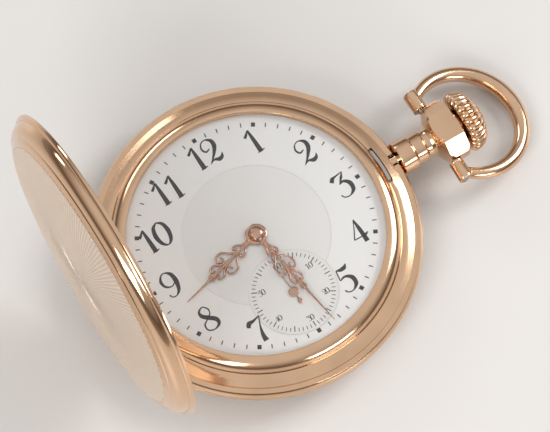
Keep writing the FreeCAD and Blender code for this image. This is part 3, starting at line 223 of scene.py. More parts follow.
FLAT = np.array([(-1, 0), (1, 0), (1, 0.6), (0.75, 1), (-0.75, 1), (-1, 0.6)], float)
DOMED = np.array([(-1, 0), (1, 0), (0.92, 0.4), (0.7, 0.72), (0.38, 0.93), (0, 1), (-0.38, 0.93),
                  (-0.7, 0.72), (-0.92, 0.4)], float)


def capped(rows):
    """A tube through rows of points, closed at both ends."""
    ends = [np.repeat(row.mean(axis=0)[None, None], rows.shape[1], axis=1)
            for row in (rows[0], rows[-1])]
    return shell(np.concatenate([ends[0], rows, ends[1]]))


def strip(path, half_width, height, base, section=FLAT):
    """A section carried along a level path, closed at both ends.

    The section's first number is a share of the half-width, its second of the height.
    """
    way = np.gradient(path, axis=0)
    way /= np.maximum(np.linalg.norm(way, axis=1, keepdims=True), 1e-9)
    side = np.stack([way[:, 1], -way[:, 0]], axis=1)
    half_width = np.broadcast_to(half_width, len(path))
    flat = path[:, None] + side[:, None] * (half_width[:, None] * section[:, 0])[..., None]
    tall = np.broadcast_to(base + height * section[:, 1], flat.shape[:2])
    return capped(np.concatenate([flat, tall[..., None]], axis=2))


def piece(name, surface, body, material, replaces=(), crease=32):
    """Makes a finished piece from a surface in millimetres and joins it to its body."""
    vertices, faces = surface
    mesh = bpy.data.meshes.new(name)
    mesh.from_pydata((vertices * MM).tolist(), [], faces.tolist())
    shape = bmesh.new()
    shape.from_mesh(mesh)
    bmesh.ops.remove_doubles(shape, verts=shape.verts, dist=1e-7)
    bmesh.ops.dissolve_degenerate(shape, edges=shape.edges, dist=1e-8)
    bmesh.ops.recalc_face_normals(shape, faces=shape.faces)
    shape.to_mesh(mesh)
    shape.free()
    mesh.shade_smooth()
    mesh.set_sharp_from_angle(angle=math.radians(crease))
    mesh.materials.append(material)
    obj = bpy.data.objects.new(name, mesh)
    bpy.context.scene.collection.objects.link(obj)
    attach(obj, body)
    if replaces:
        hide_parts(*replaces)
    return obj


def refined(node, body, material, crease=28):
    """A smooth-shaded copy of a node, with its doubled corners merged."""
    source = frame["nodes"][node].data
    vertices = np.zeros(len(source.vertices) * 3)
    source.vertices.foreach_get("co", vertices)
    faces = np.zeros(len(source.polygons) * 3, int)
    source.polygons.foreach_get("vertices", faces)
    surface = (vertices.reshape(-1, 3) / MM, faces.reshape(-1, 3))
    return piece(node + "_skin", surface, body, material, (node,), crease)


# ------------------------------------------------------------ materials

class Finish:
    """A material under construction, with short calls for its nodes."""

    def __init__(self, name):
        self.material = bpy.data.materials.new(name)
        self.material.use_nodes = True
        self.tree = self.material.node_tree
        self.shader = self.tree.nodes["Principled BSDF"]

    def node(self, kind, **settings):
        """Adds a node and sets its properties and its unlinked sockets."""
        made = self.tree.nodes.new(kind)
        for key, setting in settings.items():
            if hasattr(made, key):
                setattr(made, key, setting)
            else:
                made.inputs[key.replace("_", " ")].default_value = setting
        return made

    def link(self, output, socket):
        """Joins an output to a socket."""
        self.tree.links.new(output, socket)

    def place(self, location=(0, 0, 0), rotation=(0, 0, 0), scale=(1, 1, 1)):
        """Object coordinates seen from a point on the piece, in metres."""
        coordinates = self.node("ShaderNodeTexCoord")
        mapping = self.node("ShaderNodeMapping", vector_type="TEXTURE")
        mapping.inputs["Location"].default_value = location
        mapping.inputs["Rotation"].default_value = rotation
        mapping.inputs["Scale"].default_value = scale
        self.link(coordinates.outputs["Object"], mapping.inputs["Vector"])
        return mapping.outputs["Vector"]

    def noise(self, vector, scale, detail=3.0):
        """A noise pattern's value."""
        made = self.node("ShaderNodeTexNoise", Scale=scale, Detail=detail)
        self.link(vector, made.inputs["Vector"])
        return made.outputs["Fac"]

    def math(self, operation, first, second=None):
        """A sum on outputs or plain numbers."""
        made = self.node("ShaderNodeMath", operation=operation)
        for index, given in enumerate((first, second)):
            if given is None:
                continue
            if isinstance(given, (int, float)):
                made.inputs[index].default_value = given
            else:
                self.link(given, made.inputs[index])
        return made.outputs[0]

    def spread(self, value, low, high, start=0.3, stop=0.7):
        """A value moved from one range to another."""
        made = self.node("ShaderNodeMapRange")
        self.link(value, made.inputs["Value"])
        made.inputs["From Min"].default_value = start
        made.inputs["From Max"].default_value = stop
        made.inputs["To Min"].default_value = low
        made.inputs["To Max"].default_value = high
        return made.outputs["Result"]

    def blend(self, share, first, second):
        """Two colours, plain or from other nodes, mixed by a share."""
        made = self.node("ShaderNodeMix", data_type="RGBA")
        self.link(share, made.inputs["Factor"])
        sockets = [socket for socket in made.inputs if socket.type == "RGBA"]
        for socket, given in zip(sockets, (first, second)):
            if isinstance(given, bpy.types.NodeSocket):
                self.link(given, socket)
            else:
                socket.default_value = given
        return next(socket for socket in made.outputs if socket.type == "RGBA")

    def axes(self, vector):
        """A vector's X and Y."""
        split = self.node("ShaderNodeSeparateXYZ")
        self.link(vector, split.inputs["Vector"])
        return split.outputs["X"], split.outputs["Y"]

    def reach(self, across, up):
        """The length of a flat vector."""
        squares = [self.math("MULTIPLY", along, along) for along in (across, up)]
        return self.math("SQRT", self.math("ADD", *squares))

    def bump(self, height, distance, strength=1.0):
        """Raises the surface by a height pattern, in metres."""
        made = self.node("ShaderNodeBump", Strength=strength, Distance=distance)
        self.link(height, made.inputs["Height"])
        self.link(made.outputs["Normal"], self.shader.inputs["Normal"])

    def set(self, **values):
        """Sets plain values on the shader's own sockets."""
        for key, given in values.items():
            self.shader.inputs[key.replace("_", " ")].default_value = given


def shade(tone, factor):
    """A colour made lighter or darker."""
    return (*[min(1.0, channel * factor) for channel in tone[:3]], 1.0)


def polished(name, tone, smooth=0.09, rough=0.2, grain=700.0):
    """Polished metal: slow tone drift, hairline wear and a faintly uneven surface."""
    finish = Finish(name)
    finish.set(Metallic=1.0)
    place = finish.place()
    drift = finish.noise(place, grain / 4, 2.0)
    wear = finish.noise(finish.place(scale=(1, 0.12, 1)), grain * 6, 4.0)
    finish.link(finish.blend(finish.spread(drift, 0, 1), shade(tone, 0.93), shade(tone, 1.05)),
                finish.shader.inputs["Base Color"])
    finish.link(finish.spread(wear, smooth, rough), finish.shader.inputs["Roughness"])
    finish.bump(finish.noise(place, grain / 2, 2.0), 0.00001, 0.5)
    return finish.material


def engine_turned(name, tone, location, rotation, lines):
    """Engine-turned gold: fine rays that sway in rings, with a painted sheen on the cut ridges and a
    painted shade in the grooves.
    """
    finish = Finish(name)
    panel_edge, sway_rate, ring_rate = 0.0222, 2600.0, 15700.0
    across, up = finish.axes(finish.place(location, rotation))
    angle = finish.math("ARCTAN2", up, across)
    radius = finish.reach(across, up)
    sway = finish.math("SINE", finish.math("MULTIPLY", radius, sway_rate))
    rays = finish.math("MULTIPLY", angle, float(lines))
    rays = finish.math("SINE", finish.math("ADD", rays, finish.math("MULTIPLY", sway, 0.12)))
    rings = finish.math("SINE", finish.math("MULTIPLY", radius, ring_rate))
    inside = finish.spread(radius, 1.0, 0.0, panel_edge - 0.0001, panel_edge + 0.0001)
    pattern = finish.math("ADD", rays, finish.math("MULTIPLY", rings, 0.25))
    ridges = finish.math("MULTIPLY", pattern, inside)
    # painted sheen and shade: the base colour is made lighter on the ridges and darker in the grooves of
    # the cut pattern
    cut = finish.spread(ridges, 0, 1, -1.0, 1.0)
    ridge_sheen_and_groove_shade = finish.blend(cut, shade(tone, 0.86), shade(tone, 1.08))
    finish.link(finish.blend(inside, colour("case_gold"), ridge_sheen_and_groove_shade),
                finish.shader.inputs["Base Color"])
    finish.link(finish.spread(inside, 0.1, 0.4, 0.0, 1.0), finish.shader.inputs["Roughness"])
    finish.link(finish.spread(inside, 1.0, 0.7, 0.0, 1.0), finish.shader.inputs["Metallic"])
    finish.bump(ridges, 0.00006, 0.9)
    return finish.material


def fired_enamel(name, tone):
    """Fired enamel: a milky tone, a greyer sunk centre and seconds circle, and a glassy coat."""
    finish = Finish(name)
    place = finish.place()
    across, up = finish.axes(place)
    centre = finish.reach(across, up)
    seconds = finish.reach(across, finish.math("ADD", up, SECONDS_DROP * MM))
    sunk = finish.math("MAXIMUM", finish.spread(centre, 1.0, 0.0, 0.01180, 0.01190),
                       finish.spread(seconds, 1.0, 0.0, 0.00708, 0.00718))
    seconds_line = finish.math("MULTIPLY", line_at(finish, seconds, 0.00714, 0.00013), 1.6)
    edge = finish.math("MAXIMUM", line_at(finish, centre, 0.01186, 0.00010), seconds_line)
    outside_seconds = finish.spread(seconds, 0.0, 1.0, 0.00700, 0.00705)
    shadow = finish.math("MULTIPLY", outside_seconds, edge)
    cloud = finish.math("MULTIPLY", finish.noise(place, 260.0, 4.0), 0.2)
    dark = finish.math("ADD", finish.math("MULTIPLY", sunk, 0.45), cloud)
    dark = finish.math("ADD", dark, finish.math("MULTIPLY", shadow, 1.4))
    finish.link(finish.blend(dark, shade(tone, 1.03), shade(tone, 0.88)),
                finish.shader.inputs["Base Color"])
    finish.set(Roughness=0.22, Coat_Weight=0.6, Coat_Roughness=0.05)
    finish.bump(finish.noise(place, 520.0, 3.0), 0.00001, 0.35)
    return finish.material


def line_at(finish, distance, radius, half_width):
    """One on a thin circle and nought away from it."""
    away = finish.math("ABSOLUTE", finish.math("SUBTRACT", distance, radius))
    return finish.spread(away, 1.0, 0.0, 0.0, half_width)


def dial_paint(name, tone):
    """Fired dial paint, slightly uneven in tone and sheen."""
    finish = Finish(name)
    place = finish.place()
    fleck = finish.spread(finish.noise(place, 3000.0, 3.0), 0, 1)
    finish.link(finish.blend(fleck, shade(tone, 0.8), shade(tone, 1.5)),
                finish.shader.inputs["Base Color"])
    finish.link(finish.spread(fleck, 0.3, 0.5, 0, 1), finish.shader.inputs["Roughness"])
    return finish.material


def clear_crystal(name):
    """Clear glass whose mirror strength follows the angle of the surface."""
    finish = Finish(name)
    finish.set(Metallic=1.0, Roughness=0.02)
    place = finish.place()
    finish.link(finish.blend(finish.noise(place, 90.0, 1.0), (0.96, 0.97, 0.98, 1),
                             (1, 1, 1, 1)), finish.shader.inputs["Base Color"])
    rim = finish.node("ShaderNodeFresnel", IOR=1.36)
    finish.link(finish.math("MULTIPLY", rim.outputs[0], 0.8), finish.shader.inputs["Alpha"])
    return finish.material


def ruby(name):
    """Polished ruby with a darker cloud inside."""
    finish = Finish(name)
    cloud = finish.noise(finish.place(), 1500.0, 2.0)
    finish.link(finish.blend(cloud, (0.45, 0.01, 0.06, 1), (0.75, 0.04, 0.14, 1)),
                finish.shader.inputs["Base Color"])
    finish.set(Roughness=0.08, Coat_Weight=1.0)
    return finish.material


def striped_nickel(name, tone):
    """Nickelled plate metal with broad polished stripes."""
    finish = Finish(name)
    finish.set(Metallic=1.0)
    stripe_rate = 1450.0
    across = finish.axes(finish.place(rotation=(0, 0, math.radians(35))))[0]
    wave = finish.math("SINE", finish.math("MULTIPLY", across, stripe_rate))
    wave = finish.math("ABSOLUTE", wave)
    finish.link(finish.blend(wave, shade(tone, 0.85), shade(tone, 1.08)),
                finish.shader.inputs["Base Color"])
    finish.link(finish.spread(wave, 0.22, 0.38, 0, 1), finish.shader.inputs["Roughness"])
    finish.bump(wave, 0.00002, 0.6)
    return finish.material


def pale_table(name, tone):
    """A smooth pale table top with a faint cloudy tone."""
    finish = Finish(name)
    cloud = finish.spread(finish.noise(finish.place(), 9.0, 3.0), 0, 1)
    finish.link(finish.blend(cloud, shade(tone, 0.985), shade(tone, 1.01)),
                finish.shader.inputs["Base Color"])
    finish.set(Roughness=0.32)
    return finish.material


FINISHES = {}


def finish_of(name):
    """A finish by name, made the first time that it is asked for."""
    if name not in FINISHES:
        FINISHES[name] = MAKERS[name]()
    return FINISHES[name]


def front_panel():
    """Engine turning about the open front cover's middle, which faces sideways."""
    low, high = corner_mm("front_cover", 0), corner_mm("front_cover", 1)
    centre = ((low[0] + high[0]) / 2 * MM, 0, (low[2] + high[2]) / 2 * MM)
    return engine_turned("front_engine_turning", colour("panel_gold"), centre,
                         (0, -math.pi / 2, 0), sizes().engine_lines)


MAKERS = {
    "case_gold": lambda: polished("case_gold", colour("case_gold")),
    "hinge_gold": lambda: polished("hinge_gold", shade(colour("case_gold"), 0.92), 0.15, 0.3),
    "front_panel": front_panel,
    "back_panel": lambda: engine_turned("back_engine_turning", colour("panel_gold"), (0, 0, 0),
                                        (0, 0, 0), sizes().engine_lines),
    "enamel": lambda: fired_enamel("dial_enamel", colour("enamel")),
    "ink": lambda: dial_paint("dial_paint", colour("ink")),
    "hand_gold": lambda: polished("hand_gold", colour("hand_gold"), 0.14, 0.3, 1500.0),
    "crystal_glass": lambda: clear_crystal("watch_crystal"),
    "spring_steel": lambda: polished("ground_steel", (0.46, 0.45, 0.44, 1), 0.25, 0.42, 1600.0),
    "blued_steel": lambda: polished("blued_steel", (0.05, 0.08, 0.30, 1), 0.12, 0.25, 1600.0),
    "ruby": lambda: ruby("ruby_bearing"),
    "plate_nickel": lambda: striped_nickel("striped_nickel", (0.72, 0.70, 0.65, 1)),
    "wheel_brass": lambda: polished("gilt_brass", (0.80, 0.58, 0.27, 1), 0.2, 0.36, 1500.0),
}


# ------------------------------------------------------------ case

def cover_profile(ring_rise, panel_rise, top, flat, wall):
    """A cover's closed section above its edge plane, as (radius, rise, ripple weight).

    Outside: edge bead, groove, broad convex band, groove, sloped ring, toothed step
    and a dome whose rise falls with the square of the radius. Inside: the same line
    one wall lower.
    """
    outside = np.vstack([
        [(25.75, 0.0), (26.05, 0.0)],
        arc((26.2, 0.08), (25.86, 0.84), 0.15, 10),
        [(25.62, 0.86), (25.5, 0.8), (25.42, 0.98)],
        arc((25.38, 1.12), (23.86, ring_rise - 0.12), 0.34, 22),
        [(23.72, ring_rise - 0.16), (23.62, ring_rise - 0.12), (23.5, ring_rise + 0.06)],
        arc((23.42, ring_rise + 0.1), (22.5, panel_rise - 0.1), 0.04, 6),
    ])
    step = np.array([(22.42, panel_rise - 0.13), (22.3, panel_rise - 0.1),
                     (22.16, panel_rise + 0.02)])
    radius = np.linspace(22.0, max(flat, 0.001), 46)
    share = (radius - flat) / (22.3 - flat)
    dome = np.stack([radius, panel_rise + (top - panel_rise) * (1 - share ** 2)], axis=1)
    inner_radius = np.linspace(max(flat, 0.001), 21.9, 30)
    share = (inner_radius - flat) / (22.3 - flat)
    lining = np.stack([inner_radius, panel_rise - wall + (top - panel_rise) * (1 - share ** 2)],
                      axis=1)
    inside = np.vstack([
        arc((23.3, ring_rise - wall + 0.05), (25.1, 0.8), -0.3, 12),
        [(25.2, 0.55), (25.3, 0.1)],
    ])
    centre_out = [(0.0, top)]
    centre_in = [(0.0, top - wall)]
    line = np.vstack([outside, step, dome, centre_out, centre_in, lining, inside])
    weight = np.zeros(len(line))
    weight[len(outside):len(outside) + 3] = (0.06, 0.13, 0.10)
    return np.column_stack([line, weight])


def panel_teeth(angle):
    """The scalloped edge of the engine-turned panel: a rectified sine round the edge."""
    return np.abs(np.sin(angle * sizes().edge_teeth / 2)) - 0.5


def knuckle_rods(height, radius, slots, reach, length=2.4, gap=0.05):
    """Hinge knuckles along Y: short cylinders with eased ends."""
    rods = []
    for slot in slots:
        start = slot * (length + gap) - length / 2
        line = rounded([(0.0001, 0), (radius, 0), (radius, length), (0.0001, length)], 0.07, 4, False)
        rods.append(moved(lathe(line, 28, closed=False), along_y(-reach, start, height)))
    return rods


def cover_web(low, high, reach):
    """The two short webs between a cover's knuckles and its edge, as eased blocks."""
    webs = []
    for slot in (-1, 1):
        centre = slot * 2.45
        path = np.array([(-reach, centre - 1.15), (-reach, centre + 1.15)])
        webs.append(strip(spline(path, 6), 0.28, high - low, low, FLAT))
    return webs


class WATCH_OT_front_cover(bpy.types.Operator):
    """Front cover, standing open, with its engine-turned panel"""
    bl_idname = "watch.front_cover"
    bl_label = "Front cover"

    def execute(self, context):
        low, high = corner_mm("front_cover", 0), corner_mm("front_cover", 1)
        plane = corner_mm("front_hinge_pin", 0)[2] + 0.2 + 0.5
        depth = abs(low[0] - corner_mm("front_hinge_pin", 0)[0] - 0.2) - 0.5
        hinge = (corner_mm("front_hinge_pin", 0) + corner_mm("front_hinge_pin", 1)) / 2
        profile = cover_profile(2.84, 3.35, depth, 0.0, sizes().cover_wall)
        shut = lathe(profile, sizes().edge_teeth * COLUMNS_PER_TOOTH, ripple=panel_teeth)
        parts = [moved(shut, Matrix.Translation((0, 0, plane)))]
        parts += knuckle_rods(hinge[2], 0.45, (-1, 1), -hinge[0])
        parts += cover_web(hinge[2], plane + 0.3, -hinge[0])
        swing = (Matrix.Translation(hinge) @ Matrix.Rotation(-math.pi / 2, 4, "Y")
                 @ Matrix.Translation(-Vector(hinge)))
        piece("front_cover_shell", moved(merged(parts), swing), "front_lid",
              finish_of("front_panel"), ("front_cover",))
        return {"FINISHED"}


class WATCH_OT_back_cover(bpy.types.Operator):
    """Back cover with its engine-turned panel and flat spot"""
    bl_idname = "watch.back_cover"
    bl_label = "Back cover"

    def execute(self, context):
        hinge = (corner_mm("back_hinge_pin", 0) + corner_mm("back_hinge_pin", 1)) / 2
        plane = hinge[2] - 0.5
        profile = cover_profile(2.45, 2.95, plane, 9.0, sizes().cover_wall)
        shut = lathe(profile, sizes().edge_teeth * COLUMNS_PER_TOOTH, ripple=panel_teeth)
        upside_down = Matrix.Rotation(math.pi, 4, "X")
        parts = [moved(shut, Matrix.Translation((0, 0, plane)) @ upside_down)]
        parts += knuckle_rods(hinge[2], 0.45, (-1, 1), -hinge[0])
        parts += cover_web(plane - 0.3, hinge[2], -hinge[0])
        piece("back_cover_shell", merged(parts), "back_lid", finish_of("back_panel"),
              ("back_cover",))
        return {"FINISHED"}


class WATCH_OT_case(bpy.types.Operator):
    """Case middle, bezel and crystal"""
    bl_idname = "watch.case"
    bl_label = "Case middle, bezel and crystal"

    def execute(self, context):
        gold = finish_of("case_gold")
        refined("case_middle", "case", gold, 24)
        seat, ledge = 7.93, 8.62
        line = np.vstack([
            [(22.62, seat), (23.0, seat)],
            arc((23.1, seat + 0.08), (21.05, 9.83), 0.42, 26),
            [(20.85, 9.86), (20.62, 9.8), (20.56, 9.66), (20.56, 8.73), (21.0, 8.73),
             (21.0, ledge), (22.62, ledge)],
        ])
        piece("bezel_ring", lathe(line, 360), "case", gold, ("bezel",))
        radius = np.linspace(0, 20.45, 40)
        share = (radius / 20.5) ** 2
        outer_top, inner_top = 11.2, 10.6
        outer = np.stack([radius[::-1], (outer_top - 1.5 * share)[::-1]], axis=1)
        inner = np.stack([radius, inner_top - 1.3 * share], axis=1)
        edge = [(20.52, 9.3), (20.9, 9.32), (20.93, 9.66), (20.52, 9.69)]
        piece("crystal_dome", lathe(np.vstack([inner, edge, outer]), 288), "case",
              finish_of("crystal_glass"), ("crystal",))
        return {"FINISHED"}


# ------------------------------------------------------------ pendant, bow and crown

class WATCH_OT_pendant(bpy.types.Operator):
    """Stepped neck and faceted pendant head"""
    bl_idname = "watch.pendant"
    bl_label = "Pendant"

    def execute(self, context):
        neck_length = 10.3
        start = corner_mm("crown", 0)[0] - neck_length
        height = (corner_mm("stem", 0)[2] + corner_mm("stem", 1)[2]) / 2
        line = rounded([
            (1.44, 0.3), (0.62, 0.3), (0.62, -2.0), (0.98, -2.0), (0.98, -0.1), (2.85, 0), (2.85, 2.55),
            (2.55, 2.7), (2.6, 4.55), (2.3, 4.7), (2.35, 5.6), (2.7, 6.2), (3.7, 6.75),
            (4.8, 7.3), (5.1, 7.9), (5.1, 10.45), (4.85, 10.8), (2.95, 10.8), (2.76, 10.6),
            (2.75, 8.7), (1.44, 8.7)], 0.18, 5)
        segments = 240
        angle = np.linspace(0, 2 * np.pi, segments, endpoint=False)
        radius = np.repeat(line[:, :1], segments, axis=1)
        facets = ((0.0, 5.05), (math.pi / 2, 3.5), (math.pi / 4, 4.35), (-math.pi / 4, 4.35))
        for direction, reach in facets:
            limit = reach / np.maximum(np.abs(np.cos(angle - direction)), 1e-3)
            radius = np.minimum(radius, limit)
        along = np.repeat(line[:, 1:2], segments, axis=1)
        points = np.stack([start + along, radius * np.cos(angle), height + radius * np.sin(angle)],
                          axis=-1)
        piece("pendant_head", shell(points, closed=True), "case", finish_of("case_gold"),
              ("pendant",), 24)
        return {"FINISHED"}


class WATCH_OT_bow(bpy.types.Operator):
    """Tapered bow with its two turned barrels"""
    bl_idname = "watch.bow"
    bl_label = "Bow"

    def execute(self, context):
        pivot = (corner_mm("bow_screws", 0) + corner_mm("bow_screws", 1)) / 2
        ring, centre, wire, wire_end, droop_angle = 9.2, 5.8, 1.38, 0.9, 17.4
        end = math.pi - math.acos(centre / ring)
        share = np.linspace(-1, 1, 121)
        angle = share * end
        thick = wire + (wire_end - wire) * np.abs(share) ** 1.6
        around = np.linspace(0, 2 * np.pi, 28, endpoint=False)
        reach = ring + thick[:, None] * np.cos(around)
        points = np.stack([centre + reach * np.cos(angle)[:, None],
                           reach * np.sin(angle)[:, None],
                           thick[:, None] * np.sin(around)], axis=-1)
        parts = [capped(points)]
        line = rounded([(0.5, 0), (1.16, 0), (1.26, 0.14), (1.24, 0.3), (1.16, 0.36), (1.2, 0.5),
                        (1.28, 3.1), (1.22, 3.36), (1.05, 3.44), (0.88, 3.42), (0.86, 3.06),
                        (0.5, 3.06)], 0.06, 4)
        for side in (1, -1):
            parts.append(moved(lathe(line, 64), along_y(0, side * 5.2, 0, side)))
        droop = Matrix.Translation(pivot) @ Matrix.Rotation(math.radians(droop_angle), 4, "Y")
        piece("bow_ring", moved(merged(parts), droop), "bow", finish_of("case_gold"),
              ("bow",), 40)
        return {"FINISHED"}


class WATCH_OT_crown(bpy.types.Operator):
    """Fluted onion crown with a smooth end button"""
    bl_idname = "watch.crown"
    bl_label = "Crown"

    def execute(self, context):
        start = corner_mm("crown", 0)[0]
        height = (corner_mm("stem", 0)[2] + corner_mm("stem", 1)[2]) / 2
        shoulder = arc((4.5, 1.14), (5.12, 2.1), 0.18, 12)
        crest = arc((5.12, 2.1), (3.0, 4.65), 0.55, 18)[1:]
        side = np.vstack([shoulder, crest])
        weight = np.sin(np.pi * np.linspace(0.1, 0.97, len(side))) ** 0.4
        fluted = np.column_stack([side, weight])
        line = np.vstack([
            [(0.56, 0, 0), (2.3, 0, 0), (2.4, 0.1, 0), (2.4, 0.98, 0), (2.9, 1.05, 0), (4.2, 1.08, 0.5)],
            fluted,
            [(2.75, 4.72, 0), (2.4, 4.66, 0), (2.1, 4.68, 0), (1.98, 4.8, 0), (1.8, 4.98, 0),
             (1.4, 5.14, 0), (0.8, 5.25, 0), (0, 5.3, 0)],
            [(0, 2.4, 0), (0.56, 2.4, 0)],
        ])
        count, depth = sizes().flute_count, sizes().flute_depth

        def ribs(angle):
            """Round ribs with narrow valleys: the size of a sine, less one."""
            return depth * (np.abs(np.sin(angle * count / 2)) ** 0.55 - 1.0)

        body = lathe(line, count * 16, ripple=ribs)
        piece("crown_onion", moved(body, along_x(start, 0, height)), "crown",
              finish_of("case_gold"), ("crown",), 50)
        return {"FINISHED"}


# ------------------------------------------------------------ dial

def dial_height(x, y, top):
    """The enamel's height: level, sunk by smooth steps in the centre and the seconds circle."""
    def step(distance, edge, width=0.16):
        share = np.clip((edge - distance) / width + 0.5, 0, 1)
        return share * share * (3 - 2 * share)
    centre = step(np.hypot(x, y), CENTRE_SINK)
    seconds = step(np.hypot(x, y + SECONDS_DROP), SECONDS_SINK)
    return top - np.maximum(0.07 * centre, 0.16 * seconds)


class WATCH_OT_dial(bpy.types.Operator):
    """Enamel dial with a sunk centre and a deeper seconds circle"""
    bl_idname = "watch.dial"
    bl_label = "Dial"

    def execute(self, context):
        top, bottom = corner_mm("dial", 1)[2], corner_mm("dial", 0)[2]
        segments = 300
        angle = np.linspace(0, 2 * np.pi, segments, endpoint=False)
        radius = np.linspace(1.32, 20.78, 230)[:, None]
        x, y = radius * np.cos(angle), radius * np.sin(angle)
        face = np.stack([x, y, dial_height(x, y, top)], axis=-1)
        rim = [(20.88, top - 0.06), (20.88, bottom + 0.02), (20.8, bottom), (1.32, bottom)]
        rows = [np.stack([r * np.cos(angle), r * np.sin(angle), np.full(segments, z)], axis=-1)
                for r, z in rim]
        points = np.concatenate([face, np.array(rows)])
        piece("dial_face", shell(points, closed=True), "case", finish_of("enamel"),
              ("dial",), 60)
        return {"FINISHED"}


# Pen strokes of each figure in a box 0.62 wide and 1 high: points of (across, up, pressure).
FIGURES = {
    "0": [[(0.33, 1.0, 0.1), (0.13, 0.84, 0.75), (0.05, 0.5, 1.0), (0.12, 0.16, 0.7),
           (0.31, 0.0, 0.1), (0.50, 0.16, 0.75), (0.58, 0.5, 1.0), (0.52, 0.84, 0.7),
           (0.33, 1.0, 0.1)]],
    "1": [[(0.06, 0.76, 0.5), (0.16, 0.84, 0.5), (0.31, 1.0, 0.1)],
          [(0.31, 1.0, 0.3), (0.32, 0.6, 0.8), (0.33, 0.02, 1.1)],
          [(0.20, 0.0, 0.0), (0.36, 0.01, 0.25), (0.50, 0.04, 0.0)]],
    "2": [[(0.32, 0.60, 0.1), (0.15, 0.55, 0.3), (0.05, 0.72, 0.3), (0.14, 0.94, 0.1),
           (0.34, 1.0, 0.1), (0.53, 0.86, 0.8), (0.54, 0.62, 1.0), (0.38, 0.36, 0.6),
           (0.18, 0.14, 0.15), (0.05, 0.02, 0.0)],
          [(0.08, 0.05, 0.0), (0.26, 0.12, 0.3), (0.44, 0.05, 1.0), (0.58, 0.10, 0.7),
           (0.66, 0.24, 0.0)]],
    "3": [[(0.00, 0.78, 0.9), (0.10, 0.90, 0.9), (0.24, 0.94, 0.3), (0.56, 0.99, 0.0)],
          [(0.56, 0.99, 0.0), (0.42, 0.80, 0.5), (0.26, 0.60, 0.1)],
          [(0.22, 0.58, 0.1), (0.42, 0.62, 0.5), (0.60, 0.44, 1.0), (0.58, 0.16, 0.9),
           (0.36, 0.0, 0.1), (0.14, 0.03, 0.1), (0.05, 0.16, 0.2)]],
    "4": [[(0.40, 1.0, 0.0), (0.22, 0.62, 0.1), (0.02, 0.27, 0.1)],
          [(0.02, 0.27, 0.1), (0.36, 0.26, 0.1), (0.52, 0.27, 0.5), (0.64, 0.32, 0.0)],
          [(0.40, 1.0, 0.2), (0.42, 0.6, 0.8), (0.43, 0.0, 1.1)]],
    "5": [[(0.16, 0.98, 0.1), (0.34, 0.93, 0.8), (0.50, 0.95, 0.9), (0.62, 1.06, 0.0)],
          [(0.16, 0.98, 0.1), (0.13, 0.78, 0.1), (0.10, 0.56, 0.1)],
          [(0.10, 0.56, 0.1), (0.34, 0.62, 0.4), (0.56, 0.46, 1.0), (0.56, 0.18, 0.9),
           (0.34, 0.0, 0.1), (0.14, 0.02, 0.1), (0.05, 0.14, 0.2)]],
    "6": [[(0.52, 0.88, 0.2), (0.36, 1.0, 0.1), (0.14, 0.76, 0.9), (0.06, 0.40, 1.0),
           (0.16, 0.08, 0.6), (0.34, 0.0, 0.1), (0.54, 0.16, 0.7), (0.54, 0.42, 0.5),
           (0.36, 0.56, 0.1), (0.14, 0.44, 0.1)]],
    "7": [[(0.00, 0.76, 0.8), (0.10, 0.90, 1.1), (0.30, 0.92, 0.5), (0.58, 1.0, 0.0)],
          [(0.58, 1.0, 0.0), (0.42, 0.62, 0.2), (0.33, 0.28, 0.8), (0.32, 0.0, 1.3)]],
    "8": [[(0.50, 0.84, 0.2), (0.34, 1.0, 0.1), (0.14, 0.88, 0.4), (0.16, 0.68, 0.9),
           (0.36, 0.50, 1.0), (0.56, 0.32, 1.0), (0.56, 0.12, 0.6), (0.32, 0.0, 0.1),
           (0.08, 0.10, 0.2), (0.08, 0.34, 0.2), (0.30, 0.50, 0.1), (0.48, 0.66, 0.1),
           (0.50, 0.84, 0.2)]],
    "9": [[(0.52, 0.50, 0.1), (0.34, 0.40, 0.1), (0.12, 0.50, 0.4), (0.06, 0.74, 0.6),
           (0.18, 0.96, 0.2), (0.36, 1.0, 0.1), (0.54, 0.84, 0.8), (0.58, 0.52, 1.1),
           (0.50, 0.18, 0.7), (0.32, 0.0, 0.1), (0.14, 0.02, 0.1), (0.08, 0.14, 0.2)]],
}


def figure_strokes(text, centre, height, base):
    """A number drawn with a pen whose half-width follows the pressure along each stroke."""
    advance = 0.58 * height
    left = centre[0] - advance * len(text) / 2
    strokes = []
    for place, figure in enumerate(text):
        for points in FIGURES[figure]:
            points = np.array(points)
            corner = np.array([left + place * advance, centre[1] - height / 2])
            path = spline(points[:, :2] * height, 9) + corner
            along = np.linspace(0, len(points) - 1, len(path))
            pressure = np.interp(along, np.arange(len(points)), points[:, 2])
            strokes.append(strip(path, height * (0.016 + 0.072 * pressure), PRINT_HEIGHT, base))
    return strokes


def ticks(count, radius, length, half_width, centre, base, skip=0):
    """Short radial dashes round a circle, leaving out every skip-th one."""
    dashes = []
    for index in range(count):
        if skip and index % skip == 0:
            continue
        angle = 2 * math.pi * index / count
        way = np.array([math.sin(angle), math.cos(angle)])
        middle = np.array(centre) + way * radius
        dash = spline([middle - way * length / 2, middle + way * length / 2], 2)
        dashes.append(strip(dash, half_width, PRINT_HEIGHT, base))
    return dashes


